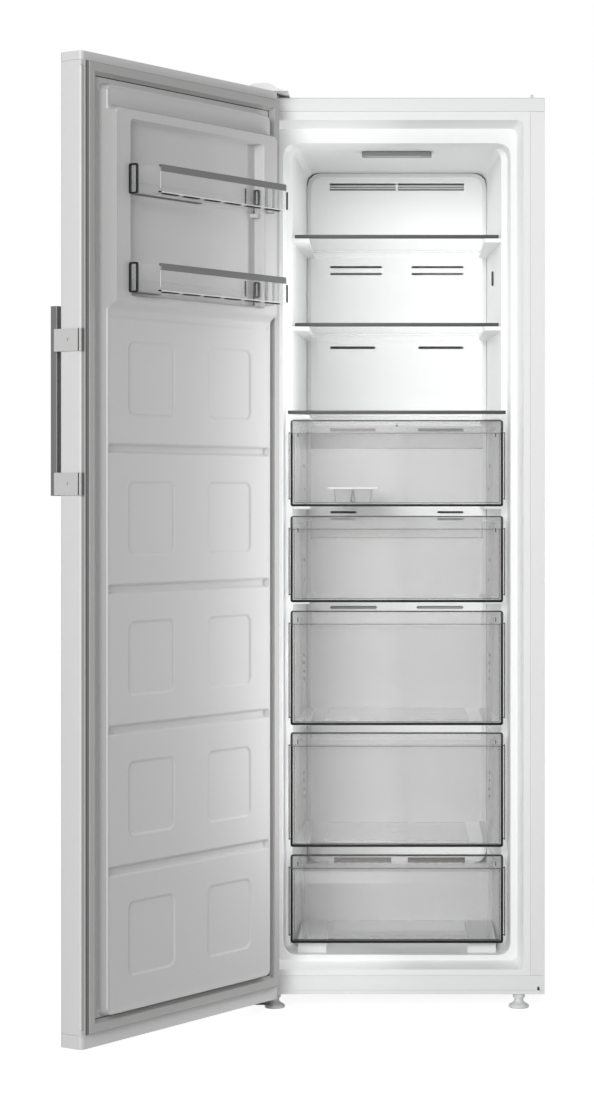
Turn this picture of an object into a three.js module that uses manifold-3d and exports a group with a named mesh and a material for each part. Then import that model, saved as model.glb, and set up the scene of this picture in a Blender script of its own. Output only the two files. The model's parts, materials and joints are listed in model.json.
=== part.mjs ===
// Upright freezer with its door open, three glass shelves, five drawers and two door racks.
// Millimetres, +Z up. While it is drawn, X = 0 is the middle of the cabinet, Y = 0 its front plane and
// Z = 0 the floor; at the end the whole group is moved so that its origin is the middle of the base of
// its bounding box. The door and all that rides on it are drawn closed and then turned on the hinge.

import * as THREE from "three";
import { mergeVertices } from "three/addons/utils/BufferGeometryUtils.js";
import Module from "manifold-3d";

const wasm = await Module();
wasm.setup();

// ---------------------------------------------------------------- driving dimensions

const SEAT = 0.3; // gap between pieces that rest on each other
const ROUND = 3; // straight steps in each rounded corner of a large form
const SMALL_ROUND = 2; // and of a small one
const OVERRUN = 10; // how far a cutting solid reaches past what it cuts

// Cabinet
const CABINET_WIDTH = 595;
const HALF_WIDTH = CABINET_WIDTH / 2;
const CABINET_DEPTH = 590;
const BASE_Z = 30;
const CABINET_TOP = 1834.5;
const LEVELS_TOP = 1834.5; // cabinet height for which the levels are written

// A height above the floor that moves with the height of the cabinet.
const level = (height) => (height * CABINET_TOP) / LEVELS_TOP;

const SHEET = 1; // coated steel of the casing
const FLANGE_WIDTH = 28.7; // front flange of each side
const FLANGE_RETURN = 14; // lip folded back from the flange
const TRIM_DEPTH = 30;
const TOP_TRIM_HEIGHT = 28.1;
const BOTTOM_TRIM_HEIGHT = 38.4;
const TRIM_LIP = 9; // height of the set-back lip under the bottom trim
const TRIM_ROUND = 3;
const TRIM_SCREW_INSET = 12.5;
const TRIM_SCREW_RADIUS = 2.3;

// Inner liner and the space inside it
const LINER_WALL = 1.5;
const LINER_RIM = 13.6; // flat rim of the liner in the front plane
const RECESS_DEPTH = 40;
const RECESS_TAPER = 12; // how much narrower the recess is at its bottom
const RECESS_BOTTOM = 80.5;
const RECESS_TOP = CABINET_TOP - 45.1;
const CAVITY_FLOOR = 102.5;
const CAVITY_TOP = RECESS_TOP - 41.4;
const CEILING_FALL = 7; // the ceiling falls this much towards the back
const CAVITY_RADIUS = 24;
const CAVITY_HALF_FRONT = HALF_WIDTH - 66.8;
const STEP_Y = 100; // depth of the step in the side walls
const STEP_LENGTH = 8;
const STEP_HALF_BEFORE = CAVITY_HALF_FRONT - 4.7;
const STEP_HALF = STEP_HALF_BEFORE - 12;
const CAVITY_HALF_BACK = STEP_HALF - 19;
const CAVITY_BACK = CABINET_DEPTH - 60;
const HUMP_FRONT = CABINET_DEPTH - 245; // step of the floor over the compressor
const HUMP_TOP = 228;
const RAIL_INNER = CAVITY_HALF_BACK - 15; // half the clear width between the side rails
const RAIL_HEIGHT = 8;
const PANEL_Y = CAVITY_BACK - 58; // front of the back panel
const RAIL_END = PANEL_Y - 17;
const FLOOR_RAIL_INNER = RAIL_INNER - 36;
const FLOOR_RAIL_OUTER = STEP_HALF - 12;
const FLOOR_RAIL_PLAY = 2; // between a floor rail and the front of the last drawer

// Back panel and cold unit behind it
const PANEL_WALL = 2.5;
const PANEL_BEVEL = 9; // width of the sloping edge of the back panel
const PANEL_EDGE_DEPTH = 6;
const PANEL_GAP = 0.8; // play between the back panel and the liner
const PANEL_BOSS_RADIUS = 6;
const EVAPORATOR_HALF_WIDTH = CAVITY_HALF_BACK - 45;
const EVAPORATOR_BOTTOM = (CAVITY_FLOOR + CAVITY_TOP) / 2 - 285.25;
const EVAPORATOR_PASSES = 4;
const EVAPORATOR_PITCH = 50;
const EVAPORATOR_FINS = 5;
const FIN_THICKNESS = 1;
const FIN_DEPTH = 36;
const TUBE_RADIUS = 4;
const FAN_Z = EVAPORATOR_BOTTOM + 450;
const FAN_RADIUS = 55;
const FAN_BLADES = 5;
const FAN_DEPTH = 18;
const FAN_FRONT = PANEL_Y + 14;
const HUB_RADIUS = 16;
const SHAFT_RADIUS = 2.5;
const SHAFT_PLAY = 0.3;
const MOTOR_RADIUS = 24;
const DRAIN_Y = CAVITY_BACK - 25;
const DRAIN_BORE = 7;
const DRAIN_WALL = 1.5;

// Machine space at the bottom of the back
const NICHE_FRONT = HUMP_FRONT + 40;
const NICHE_TOP = 194;
const COMPRESSOR_X = 95;
const COMPRESSOR_Y = CABINET_DEPTH - 105;
const COMPRESSOR_RADIUS = 66;
const COMPRESSOR_HEIGHT = 112;
const COMPRESSOR_STRETCH = 1.25; // the shell is oval
const GROMMET_HEIGHT = 12;
const MOUNT_PLATE = 3;
const TRAY_HEIGHT = 20;
const COIL_RADIUS = 2.5;
const COIL_PASSES = 6;
const COIL_PITCH = 84;
const COIL_BOTTOM = HUMP_TOP + 192;
const COIL_TOP = CAVITY_TOP - 128;

// Shelves
const SHELF_THICKNESS = 7;
const GLASS_THICKNESS = 4;
const SHELF_BACK = PANEL_Y - 28;
const SHELF_SIDE_PLAY = 5;
const SHELF_TRIM_DEPTH = 12;
const SHELF_GROOVE_DEPTH = 8;
const SHELF_REAR_DROP = 13;
const TOP_COVER_FRONT = 45;
const SHELF_1_Z = 1565;
const SHELF_2_Z = 1384.5;
const SHELF_3_Z = 1203;
const SHELVES = [
  { name: "shelf_1", z: level(SHELF_1_Z), front: STEP_Y },
  { name: "shelf_2", z: level(SHELF_2_Z), front: STEP_Y },
  { name: "shelf_3", z: level(SHELF_3_Z), front: TOP_COVER_FRONT },
];

// Drawers, from the top down
const DRAWER_HALF_WIDTH = STEP_HALF_BEFORE - 10;
const DRAWER_FRONT_Y = 45;
const DRAWER_WALL = 2.2;
const DRAWER_CORNER = 7;
const DRAWER_FRONT_DEPTH = 20.7;
const DRAWER_FACE_SETBACK = 4; // the face lies this much behind the grip
const GRIP_HEIGHT = 27;
const GRIP_RECESS = 30; // height of the finger recess under the grip
const GRIP_DEPTH = 15;
const TUB_HALF_FRONT = STEP_HALF - 10; // room between the tub and the walls
const TUB_HALF_BACK = TUB_HALF_FRONT - 12;
const TUB_DRAFT = 5;
const TUB_BACK = PANEL_Y - 32;
const TUB_LIFT = 3; // bottom of the tub above the bottom of the front
const TUB_TOP_DROP = 14;
const TUB_REAR_DROP = 50; // top of the rear wall below the top of the front
const TUB_TO_HUMP = 12;
const TUB_RADIUS = 18;
const TUB_RIM = 3.5;
const TUB_RIBS = 3;
const RIB_WIDTH = 3;
const RIB_HEIGHT = 1.2;
const DRAWER_1 = { bottom: 1011.7, top: 1187.2 };
const DRAWER_2 = { bottom: 817, top: 992.5 };
const DRAWER_3 = { bottom: 567.5, top: 799.7 };
const DRAWER_4 = { bottom: 320.3, top: 552.2 };
const DRAWER_5 = { bottom: 125.2, top: 303.7 };
const DRAWERS = [DRAWER_1, DRAWER_2, DRAWER_3, DRAWER_4, DRAWER_5].map(({ bottom, top }, k, all) => ({
  name: `drawer_${k + 1}`,
  bottom: level(bottom),
  top: level(top),
  back: k < all.length - 1 ? TUB_BACK : HUMP_FRONT - TUB_TO_HUMP,
}));

// Ice tray in the top drawer
const ICE_WIDTH = 108;
const ICE_LENGTH = 200;
const ICE_HEIGHT = 33;
const ICE_RIM = 13;
const ICE_WALL = 1.6;
const ICE_X = -92;
const ICE_Y = TUB_BACK - 140;
const ICE_CELLS = 4;

// Feet
const FOOT_X = HALF_WIDTH - 51;
const FRONT_FOOT_Y = 22;
const REAR_FOOT_Y = CABINET_DEPTH - 42;
const FOOT_RADIUS = 20.5;
const REAR_FOOT_RADIUS = 0.8 * FOOT_RADIUS;
const FOOT_NECK = 9;

// Door, drawn closed
const DOOR_THICKNESS = 52;
const DOOR_GAP = 12; // between the door and the cabinet, filled by the gasket
const DOOR_BOTTOM = 32;
const DOOR_TOP = CABINET_TOP + 3.5;
const DOOR_ROUND = 6;
const DOOR_FLANGE = 14;
const TOP_CAP_HEIGHT = 16;
const BOTTOM_CAP_HEIGHT = 25;
const CAP_SPIGOT = 8;
const CAP_LUG_HEIGHT = 10;
const CAP_LUG_WIDTH = 7;
const CAP_LUG_DEPTH = 4;
const HINGE_X = -HALF_WIDTH + 20;
const HINGE_Y = -48;
const DOOR_OPEN_DEG = 124;
const GASKET_EDGE = 6.5;
const GASKET_WIDTH = 25;
const GASKET_PLAY = 1;
const PLUG_HALF = HALF_WIDTH - 46.5; // raised middle of the door liner
const PLUG_BOTTOM = 84;
const PLUG_TOP = DOOR_TOP - 52;
const PLUG_HEIGHT = 17;
const PLUG_DRAFT = 4;
const PLUG_RADIUS = 16;
const UPPER_RACK_Z = 1584.5;
const LOWER_RACK_Z = 1404.5;
const DYKE_HEIGHT = 37; // frame round the racks, above the door's inner plane
const DYKE_HALF_OUTER = PLUG_HALF - 8;
const DYKE_HALF_INNER = DYKE_HALF_OUTER - 40;
const DYKE_DRAFT = 4;
const DYKE_INNER_RADIUS = 8;
const DYKE_BOTTOM_OUTER = level(LOWER_RACK_Z) - 13.5;
const DYKE_BOTTOM_INNER = DYKE_BOTTOM_OUTER + 8;
const DYKE_TOP_OUTER = PLUG_TOP - 46;
const DYKE_TOP_INNER = DYKE_TOP_OUTER - 17;
const DYKE_FOOT = 18; // slope under the lower bar of the frame
const GROOVE_COUNT = 4;
const GROOVE_TO_DYKE = 270.8;
const GROOVE_FIRST = DYKE_BOTTOM_OUTER - GROOVE_TO_DYKE;
const GROOVE_TO_FOOT = 6.2;
const GROOVE_PITCH = (GROOVE_FIRST - PLUG_BOTTOM - GROOVE_TO_FOOT) / GROOVE_COUNT;
const GROOVE_HEIGHT = 16;
const GROOVE_DEPTH = 8;
const GROOVE_HALF = PLUG_HALF - 8;
const FIELD_WIDTH = 134; // shallow rounded fields pressed into the liner
const FIELD_HEIGHT = 134;
const FIELD_X = 117.5;
const FIELD_DEPTH = 2.5;
const FIELD_RADIUS = 16;

// Racks on the door
const RACK_HALF = DYKE_HALF_INNER + 4;
const RACK_FRONT = 97; // above the door's inner plane
const RACK_HEIGHT = 50;
const RACK_WALL = 2.2;
const RACK_BACK_HALF = DYKE_HALF_INNER - 9;
const RACK_BACK_HEIGHT = 26;
const RACK_FRONT_RADIUS = 16;
const RACK_BAND_HEIGHT = 11;
const RACK_BAND_THICKNESS = 1.6;
const RACK_CLIP_DEPTH = 20;
const RACK_CLIP_RISE = 5;
const RACK_LUG_HEIGHT = 8;
const RACK_LUG_DEPTH = 12;
const RACK_SLOTS = 6;
const RACK_SLITS = 6;
const RACK_SLIT_PITCH = 13;
const RACKS = [
  { name: "upper_rack", bottom: level(UPPER_RACK_Z) },
  { name: "lower_rack", bottom: level(LOWER_RACK_Z) },
];

// Handle
const HANDLE_LENGTH = 347;
const HANDLE_BOTTOM = level(1206.5) - HANDLE_LENGTH / 2;
const HANDLE_X = HALF_WIDTH - 17.5;
const HANDLE_WIDTH = 18;
const HANDLE_STANDOFF = 22;
const HANDLE_THICKNESS = 16.5;
const BRACKET_HEIGHT = 41;
const BRACKET_PLATE = 3;
const BRACKET_Y_OUT = -75;
const BRACKET_Y_IN = -18;
const BRACKET_Z = [HANDLE_BOTTOM + 1, HANDLE_BOTTOM + HANDLE_LENGTH - 85];
const BRACKET_HOLE = 3.3;
const BRACKET_GAP = 2.5;
const BRACKET_LIP = 4.7;
const BRACKET_LIP_THICKNESS = 2;

// Hinges
const HINGE_PLATE = 3;
const HINGE_ARM_END = 76;
const HINGE_DECK_RIGHT = 33.5; // from the pin to the end of the top plate
const HINGE_DECK_BACK = 66;
const PIN_RADIUS = 4;
const PIN_PLAY = 0.3;
const PIN_LENGTH = 12;
const HINGE_COVER_LEFT = -HALF_WIDTH + 4.5;
const HINGE_COVER_RIGHT = HINGE_COVER_LEFT + 77;
const HINGE_COVER_FRONT = -62;
const HINGE_COVER_BACK = 78;
const HINGE_COVER_TOP = DOOR_TOP + 16;
const HINGE_COVER_WALL = 1.8;
const PLUG_X = HALF_WIDTH - 24.5;
const PLUG_PIN_RADIUS = 3;
const PLUG_PIN_HEIGHT = 9;

// Lamp and sensor
const LAMP_HALF = 72;
const LAMP_FRONT = STEP_Y + 50;
const LAMP_DEPTH = 36;
const LAMP_HEIGHT = 8.5;
const SENSOR_Y = TUB_BACK - 140;
const SENSOR_Z = level(SHELF_1_Z - 70);
const SENSOR_LENGTH = 16;
const SENSOR_HEIGHT = 30;
const SENSOR_THICKNESS = 3;

// ---------------------------------------------------------------- values worked out from them

const FLANGE_INNER = HALF_WIDTH - FLANGE_WIDTH;
const RIM_HALF = FLANGE_INNER - SEAT;
const RECESS_HALF = RIM_HALF - LINER_RIM;
const TOP_TRIM_Z = CABINET_TOP - TOP_TRIM_HEIGHT;
const BOTTOM_TRIM_Z = BASE_Z + BOTTOM_TRIM_HEIGHT;
const BASE_PLATE_TOP = BASE_Z + LINER_WALL;
const FOAM_HALF = HALF_WIDTH - SHEET - SEAT;
const FOAM_FRONT = LINER_WALL + SEAT;
const COIL_SLOT = 2 * COIL_RADIUS + SEAT;
const REAR_SHEET_Y = CABINET_DEPTH - 3;
const DOOR_INNER_Y = -DOOR_GAP;
const DOOR_OUTER_Y = -DOOR_GAP - DOOR_THICKNESS;
const EDGE_X = HALF_WIDTH;
const EVAPORATOR_Y = (PANEL_Y + PANEL_EDGE_DEPTH + CAVITY_BACK) / 2 + 2;

const radians = (degrees) => (degrees * Math.PI) / 180;
const lerp = (a, b, t) => a + (b - a) * t;

// Half the width of the cabinet's cavity at depth y behind the step.
const wallHalf = (y) => lerp(STEP_HALF, CAVITY_HALF_BACK, (y - STEP_Y) / (CAVITY_BACK - STEP_Y));

// Height of the cavity's ceiling at depth y.
const ceiling = (y) => CAVITY_TOP - (CEILING_FALL * (y - RECESS_DEPTH)) / (CAVITY_BACK - RECESS_DEPTH);

// ---------------------------------------------------------------- solids

// A closed geometry as a solid that can be joined and cut.
function solid(geometry) {
  const bare = geometry.index ? geometry.toNonIndexed() : geometry.clone();
  bare.deleteAttribute("normal");
  bare.deleteAttribute("uv");
  const merged = mergeVertices(bare, 1e-4);
  const triVerts = new Uint32Array(merged.index.array);
  const vertProperties = merged.attributes.position.array;
  return new wasm.Manifold(new wasm.Mesh({ numProp: 3, vertProperties, triVerts }));
}

// A solid back as a geometry.
function geometryOf(body) {
  const mesh = body.getMesh();
  const geometry = new THREE.BufferGeometry();
  geometry.setAttribute("position", new THREE.BufferAttribute(mesh.vertProperties, 3));
  geometry.setIndex(new THREE.BufferAttribute(mesh.triVerts, 1));
  geometry.computeVertexNormals();
  return geometry;
}

const join = (...bodies) => bodies.flat().reduce((all, body) => all.add(body));
const cut = (body, ...tools) => tools.flat().reduce((rest, tool) => rest.subtract(tool), body);

// A block between two corners.
function block(x0, x1, y0, y1, z0, z1) {
  const geometry = new THREE.BoxGeometry(x1 - x0, y1 - y0, z1 - z0);
  return solid(geometry.translate((x0 + x1) / 2, (y0 + y1) / 2, (z0 + z1) / 2));
}

// A block and its mirror image on the other side of the cabinet.
const pair = (x0, x1, ...rest) => [block(x0, x1, ...rest), block(-x1, -x0, ...rest)];

// A flat outline drawn out along an axis: (x, z) along y, (y, z) along x, (x, y) along z.
function prism(shape, axis, from, to) {
  const geometry = new THREE.ExtrudeGeometry(shape, {
    depth: to - from,
    bevelEnabled: false,
    curveSegments: ROUND,
  });
  if (axis === "y") geometry.rotateX(Math.PI / 2).translate(0, to, 0);
  if (axis === "z") geometry.translate(0, 0, from);
  if (axis === "x") {
    const turn = new THREE.Matrix4().makeBasis(
      new THREE.Vector3(0, 1, 0),
      new THREE.Vector3(0, 0, 1),
      new THREE.Vector3(1, 0, 0),
    );
    geometry.applyMatrix4(turn).translate(from, 0, 0);
  }
  return solid(geometry);
}

const polygon = (points) => new THREE.Shape(points.map(([u, v]) => new THREE.Vector2(u, v)));

// The corners of a convex outline, given in turn, replaced by arcs of one radius.
function roundCorners(corners, radius, steps = ROUND) {
  return corners.flatMap((corner, i) => {
    const before = corners.at(i - 1).clone().sub(corner).normalize();
    const after = corners[(i + 1) % corners.length].clone().sub(corner).normalize();
    const half = Math.acos(before.dot(after)) / 2;
    const middle = before.clone().add(after).normalize();
    const centre = corner.clone().addScaledVector(middle, radius / Math.sin(half));
    const start = corner.clone().addScaledVector(before, radius / Math.tan(half)).sub(centre);
    const turn = Math.PI - 2 * half;
    const way = Math.sign(before.cross(after)) * -1;
    return Array.from({ length: steps + 1 }, (_, k) =>
      start.clone().rotateAround(new THREE.Vector2(), (way * turn * k) / steps).add(centre),
    );
  });
}

// The corners of a rectangle, in turn.
const rectangle = (u0, u1, v0, v1) => [
  new THREE.Vector2(u0, v0),
  new THREE.Vector2(u1, v0),
  new THREE.Vector2(u1, v1),
  new THREE.Vector2(u0, v1),
];

// A flat rectangle with round corners.
const roundedRect = (u0, u1, v0, v1, radius, steps = SMALL_ROUND) =>
  new THREE.Shape(roundCorners(rectangle(u0, u1, v0, v1), radius, steps));

// A rounded rectangle in the plane of depth y.
function ringAt(y, half, z0, z1, radius) {
  return roundCorners(rectangle(-half, half, z0, z1), radius).map((p) => new THREE.Vector3(p.x, y, p.y));
}

// A closed surface through rings of the same number of points; open rings of solids get flat ends.
function loft(rings, closed = false) {
  const count = rings[0].length;
  const position = rings.flat().flatMap((p) => [p.x, p.y, p.z]);
  const index = [];
  const last = closed ? rings.length : rings.length - 1;
  for (let i = 0; i < last; i++) {
    for (let j = 0; j < count; j++) {
      const a = i * count + j;
      const b = i * count + ((j + 1) % count);
      const c = ((i + 1) % rings.length) * count + ((j + 1) % count);
      const d = ((i + 1) % rings.length) * count + j;
      index.push(a, b, c, a, c, d);
    }
  }
  if (!closed) {
    const end = (rings.length - 1) * count;
    for (let j = 1; j < count - 1; j++) {
      index.push(0, j + 1, j);
      index.push(end, end + j, end + j + 1);
    }
  }
  const geometry = new THREE.BufferGeometry();
  geometry.setAttribute("position", new THREE.Float32BufferAttribute(position, 3));
  geometry.setIndex(index);
  const body = solid(geometry);
  return body.volume() > 0 ? body : solid(geometry.setIndex(index.reverse()));
}

// A turned piece: its profile of [radius, height] pairs goes round the Z axis and is then moved.
function turned(profile, sides, x = 0, y = 0, z = 0) {
  const points = profile.map(([r, h]) => new THREE.Vector2(r, h));
  const geometry = new THREE.LatheGeometry(points, sides);
  return solid(geometry.rotateX(Math.PI / 2).translate(x, y, z));
}

// A plain round bar along an axis from one end to the other.
function bar(axis, radius, sides, from, to, a, b) {
  const geometry = new THREE.CylinderGeometry(radius, radius, to - from, sides);
  const middle = (from + to) / 2;
  if (axis === "x") geometry.rotateZ(Math.PI / 2).translate(middle, a, b);
  if (axis === "y") geometry.translate(a, middle, b);
  if (axis === "z") geometry.rotateX(Math.PI / 2).translate(a, b, middle);
  return solid(geometry);
}

// A tube of round section along points that lie in one plane, whose normal is given.
function tubeAlong(points, radius, sides, normal) {
  const rings = points.map((point, i) => {
    const before = points[Math.max(i - 1, 0)];
    const after = points[Math.min(i + 1, points.length - 1)];
    const ahead = after.clone().sub(before).normalize();
    const across = ahead.clone().cross(normal).normalize();
    return Array.from({ length: sides }, (_, k) => {
      const angle = (2 * Math.PI * (k + 0.5)) / sides;
      return point
        .clone()
        .addScaledVector(normal, radius * Math.cos(angle))
        .addScaledVector(across, radius * Math.sin(angle));
    });
  });
  return loft(rings);
}

// The way of a serpentine: straight passes joined by half turns, in (u, v) with passes along u.
function serpentine(passes, pitch, u0, u1) {
  const bend = 4;
  const points = [];
  for (let i = 0; i < passes; i++) {
    const v = i * pitch;
    const [from, to] = i % 2 ? [u1, u0] : [u0, u1];
    points.push([from, v]);
    points.push([to, v]);
    if (i === passes - 1) break;
    const side = i % 2 ? -1 : 1;
    for (let k = 1; k < bend; k++) {
      const angle = (Math.PI * k) / bend;
      points.push([to + side * (pitch / 2) * Math.sin(angle), v + (pitch / 2) * (1 - Math.cos(angle))]);
    }
  }
  return points;
}

// ---------------------------------------------------------------- cabinet

// Folded sides and top with front flanges and their lips.
function outerShell() {
  const outside = block(-HALF_WIDTH, HALF_WIDTH, 0, CABINET_DEPTH, BASE_Z, CABINET_TOP);
  const inner = HALF_WIDTH - SHEET;
  const inside = block(
    -inner, inner, SHEET, CABINET_DEPTH + OVERRUN, BASE_Z - OVERRUN, CABINET_TOP - SHEET,
  );
  const window = block(
    -FLANGE_INNER, FLANGE_INNER, -OVERRUN, SHEET + OVERRUN, BASE_Z - OVERRUN, CABINET_TOP - SHEET,
  );
  const trimSpace = (z0, z1) =>
    block(-HALF_WIDTH - OVERRUN, HALF_WIDTH + OVERRUN, -OVERRUN, TRIM_DEPTH + SEAT, z0, z1);
  const lips = pair(FLANGE_INNER, FLANGE_INNER + SHEET, 0, FLANGE_RETURN, BASE_Z, CABINET_TOP);
  const wrap = cut(outside, inside, window);
  return cut(
    join(wrap, lips),
    trimSpace(TOP_TRIM_Z - SEAT, CABINET_TOP + OVERRUN),
    trimSpace(BASE_Z - OVERRUN, BOTTOM_TRIM_Z + SEAT),
  );
}

// Back wall folded in one piece over the machine space.
function rearPanel() {
  const half = FOAM_HALF;
  const top = CABINET_TOP - SHEET - SEAT;
  const wall = block(-half, half, REAR_SHEET_Y, REAR_SHEET_Y + SHEET, NICHE_TOP, top);
  const roof = block(-half, half, NICHE_FRONT, REAR_SHEET_Y + SHEET, NICHE_TOP, NICHE_TOP + SHEET);
  const front = block(
    -half, half, NICHE_FRONT, NICHE_FRONT + SHEET, BASE_PLATE_TOP + SEAT, NICHE_TOP + SHEET,
  );
  const beadDepth = CABINET_DEPTH - REAR_SHEET_Y - SHEET;
  const beads = [-180, -60, 60, 180].map((x) =>
    prism(
      polygon([
        [x - 10, REAR_SHEET_Y + SHEET / 2],
        [x + 10, REAR_SHEET_Y + SHEET / 2],
        [x + 5, REAR_SHEET_Y + SHEET + beadDepth],
        [x - 5, REAR_SHEET_Y + SHEET + beadDepth],
      ]),
      "z", NICHE_TOP + 60, top - 60,
    ),
  );
  const drain = bar(
    "z", DRAIN_BORE + DRAIN_WALL + SEAT, 16, NICHE_TOP - OVERRUN, NICHE_TOP + OVERRUN, 0, DRAIN_Y,
  );
  return cut(join(wall, roof, front, beads), drain);
}

// Bottom plate with a turned-up edge at the back.
function basePlate() {
  const floor = block(
    -FOAM_HALF, FOAM_HALF, TRIM_DEPTH + SEAT, REAR_SHEET_Y + SHEET, BASE_Z, BASE_PLATE_TOP,
  );
  const edge = block(
    -FOAM_HALF, FOAM_HALF, REAR_SHEET_Y, REAR_SHEET_Y + SHEET, BASE_Z, BASE_Z + 18,
  );
  return join(floor, edge);
}

// The cavity inside the cabinet, grown on all sides: 0 gives the liner's inner face, and its outer
// face and the insulation's come from larger values.
function hollow(grow) {
  const ring = (y, half, z0, z1, radius) => ringAt(y, half + grow, z0 - grow, z1 + grow, radius + grow);
  const recess = loft([
    ring(-OVERRUN, RECESS_HALF, RECESS_BOTTOM, RECESS_TOP, CAVITY_RADIUS / 2),
    ring(0, RECESS_HALF, RECESS_BOTTOM, RECESS_TOP, CAVITY_RADIUS / 2),
    ring(
      RECESS_DEPTH + grow, RECESS_HALF - RECESS_TAPER, RECESS_BOTTOM + RECESS_TAPER,
      RECESS_TOP - RECESS_TAPER, CAVITY_RADIUS / 2,
    ),
  ]);
  const room = loft(
    [
      [RECESS_DEPTH - 1, CAVITY_HALF_FRONT],
      [STEP_Y - STEP_LENGTH + grow, STEP_HALF_BEFORE],
      [STEP_Y + grow, STEP_HALF],
      [CAVITY_BACK + grow, CAVITY_HALF_BACK],
    ].map(([y, half]) => ring(y, half, CAVITY_FLOOR, ceiling(y), CAVITY_RADIUS)),
  );
  const hump = block(
    -HALF_WIDTH, HALF_WIDTH, HUMP_FRONT + grow, CABINET_DEPTH, RECESS_BOTTOM - OVERRUN, HUMP_TOP - grow,
  );
  const rails = railTops().flatMap(([z, front]) =>
    pair(RAIL_INNER + grow, HALF_WIDTH, front + grow, RAIL_END - grow, z - RAIL_HEIGHT + grow, z - grow),
  );
  const floorRails = pair(
    FLOOR_RAIL_INNER + grow, FLOOR_RAIL_OUTER - grow, TUB_FRONT + DRAWER_WALL + FLOOR_RAIL_PLAY + grow,
    HUMP_FRONT - 2 * OVERRUN - grow, RECESS_BOTTOM - OVERRUN, tubBottom(DRAWERS.at(-1)) - SEAT - grow,
  );
  return join(recess, cut(room, hump, rails, floorRails));
}

const tubBottom = (drawer) => drawer.bottom + TUB_LIFT;

// Top face and front end of each pair of side rails: under the shelves and all but the last drawer.
function railTops() {
  const shelves = SHELVES.map(({ z }) => [z - SHELF_THICKNESS / 2 - SEAT, STEP_Y + 2]);
  const drawers = DRAWERS.slice(0, -1).map((drawer) => [tubBottom(drawer) - SEAT, STEP_Y + 2]);
  return [...shelves, ...drawers];
}

const drainHole = (radius) => bar("z", radius, 16, NICHE_TOP - OVERRUN, HUMP_TOP + OVERRUN, 0, DRAIN_Y);

// Formed inner wall of the cabinet with its rim, recess, rails and floor step.
function innerLiner() {
  const rim = block(
    -RIM_HALF, RIM_HALF, 0, LINER_WALL, BOTTOM_TRIM_Z + SEAT, TOP_TRIM_Z - SEAT,
  );
  const before = block(-HALF_WIDTH, HALF_WIDTH, -2 * OVERRUN, 0, 0, CABINET_TOP);
  const outside = cut(hollow(LINER_WALL), before);
  return cut(join(rim, outside), hollow(0), drainHole(DRAIN_BORE + DRAIN_WALL + SEAT));
}

// Foamed insulation between the casing and the liner.
function insulation() {
  const bottom = BASE_PLATE_TOP + SEAT;
  const top = CABINET_TOP - SHEET - SEAT;
  const back = REAR_SHEET_Y - SEAT;
  const core = block(-FOAM_HALF + COIL_SLOT, FOAM_HALF, FOAM_FRONT, back, bottom, top);
  const niche = block(
    -HALF_WIDTH, HALF_WIDTH, NICHE_FRONT - SEAT, CABINET_DEPTH, 0, NICHE_TOP + SHEET + SEAT,
  );
  const trims = [
    block(-HALF_WIDTH, HALF_WIDTH, 0, TRIM_DEPTH + SEAT, TOP_TRIM_Z - SEAT, CABINET_TOP),
    block(-HALF_WIDTH, HALF_WIDTH, 0, TRIM_DEPTH + SEAT, 0, BOTTOM_TRIM_Z + SEAT),
  ];
  const lips = pair(
    FLANGE_INNER - SEAT, FLANGE_INNER + SHEET + SEAT, 0, FLANGE_RETURN + SEAT, 0, CABINET_TOP,
  );
  return cut(
    core, niche, trims, lips, hollow(LINER_WALL + SEAT), drainHole(DRAIN_BORE + DRAIN_WALL + SEAT),
  );
}

// A front trim: its profile in (y, z) drawn out over the width of the cabinet.
function frontTrim(z0, z1, roundTop, lip) {
  const shape = new THREE.Shape();
  shape.moveTo(TRIM_DEPTH, z0);
  if (lip) {
    shape.lineTo(TRIM_ROUND, z0);
    shape.lineTo(TRIM_ROUND, z0 + lip);
  }
  shape.lineTo(0, z0 + lip);
  shape.lineTo(0, z1 - roundTop);
  shape.absarc(roundTop, z1 - roundTop, roundTop, Math.PI, Math.PI / 2, true);
  shape.lineTo(TRIM_DEPTH, z1);
  const body = prism(shape, "x", -HALF_WIDTH, HALF_WIDTH);
  const pocket = block(
    -HALF_WIDTH + OVERRUN, HALF_WIDTH - OVERRUN, TRIM_ROUND * 2, TRIM_DEPTH + OVERRUN,
    z0 + TRIM_ROUND, z1 - TRIM_ROUND,
  );
  return cut(body, pocket);
}

function topTrim() {
  return frontTrim(TOP_TRIM_Z, CABINET_TOP, TRIM_ROUND, 0);
}

// The lower trim has a set-back lip and a screw hole at each end.
function bottomTrim() {
  const body = frontTrim(BASE_Z, BOTTOM_TRIM_Z, TRIM_ROUND / 3, TRIM_LIP);
  const screwZ = BASE_Z + TRIM_LIP + TRIM_SCREW_RADIUS * 2;
  const holes = [-1, 1].map((side) =>
    bar("y", TRIM_SCREW_RADIUS, 12, -OVERRUN, 2 * OVERRUN, side * (HALF_WIDTH - TRIM_SCREW_INSET), screwZ),
  );
  return cut(body, holes);
}

// Warm tube that lies along the inside of the left wall.
function condenserCoil() {
  const x = -HALF_WIDTH + SHEET + SEAT / 2 + COIL_RADIUS;
  const path = serpentine(COIL_PASSES, COIL_PITCH, COIL_BOTTOM, COIL_TOP);
  const start = CABINET_DEPTH / 2 - ((COIL_PASSES - 1) * COIL_PITCH) / 2;
  const points = path.map(([z, y]) => new THREE.Vector3(x, start + y, z));
  return tubeAlong(points, COIL_RADIUS, 5, new THREE.Vector3(1, 0, 0));
}

// ---------------------------------------------------------------- back panel and cold unit

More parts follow.
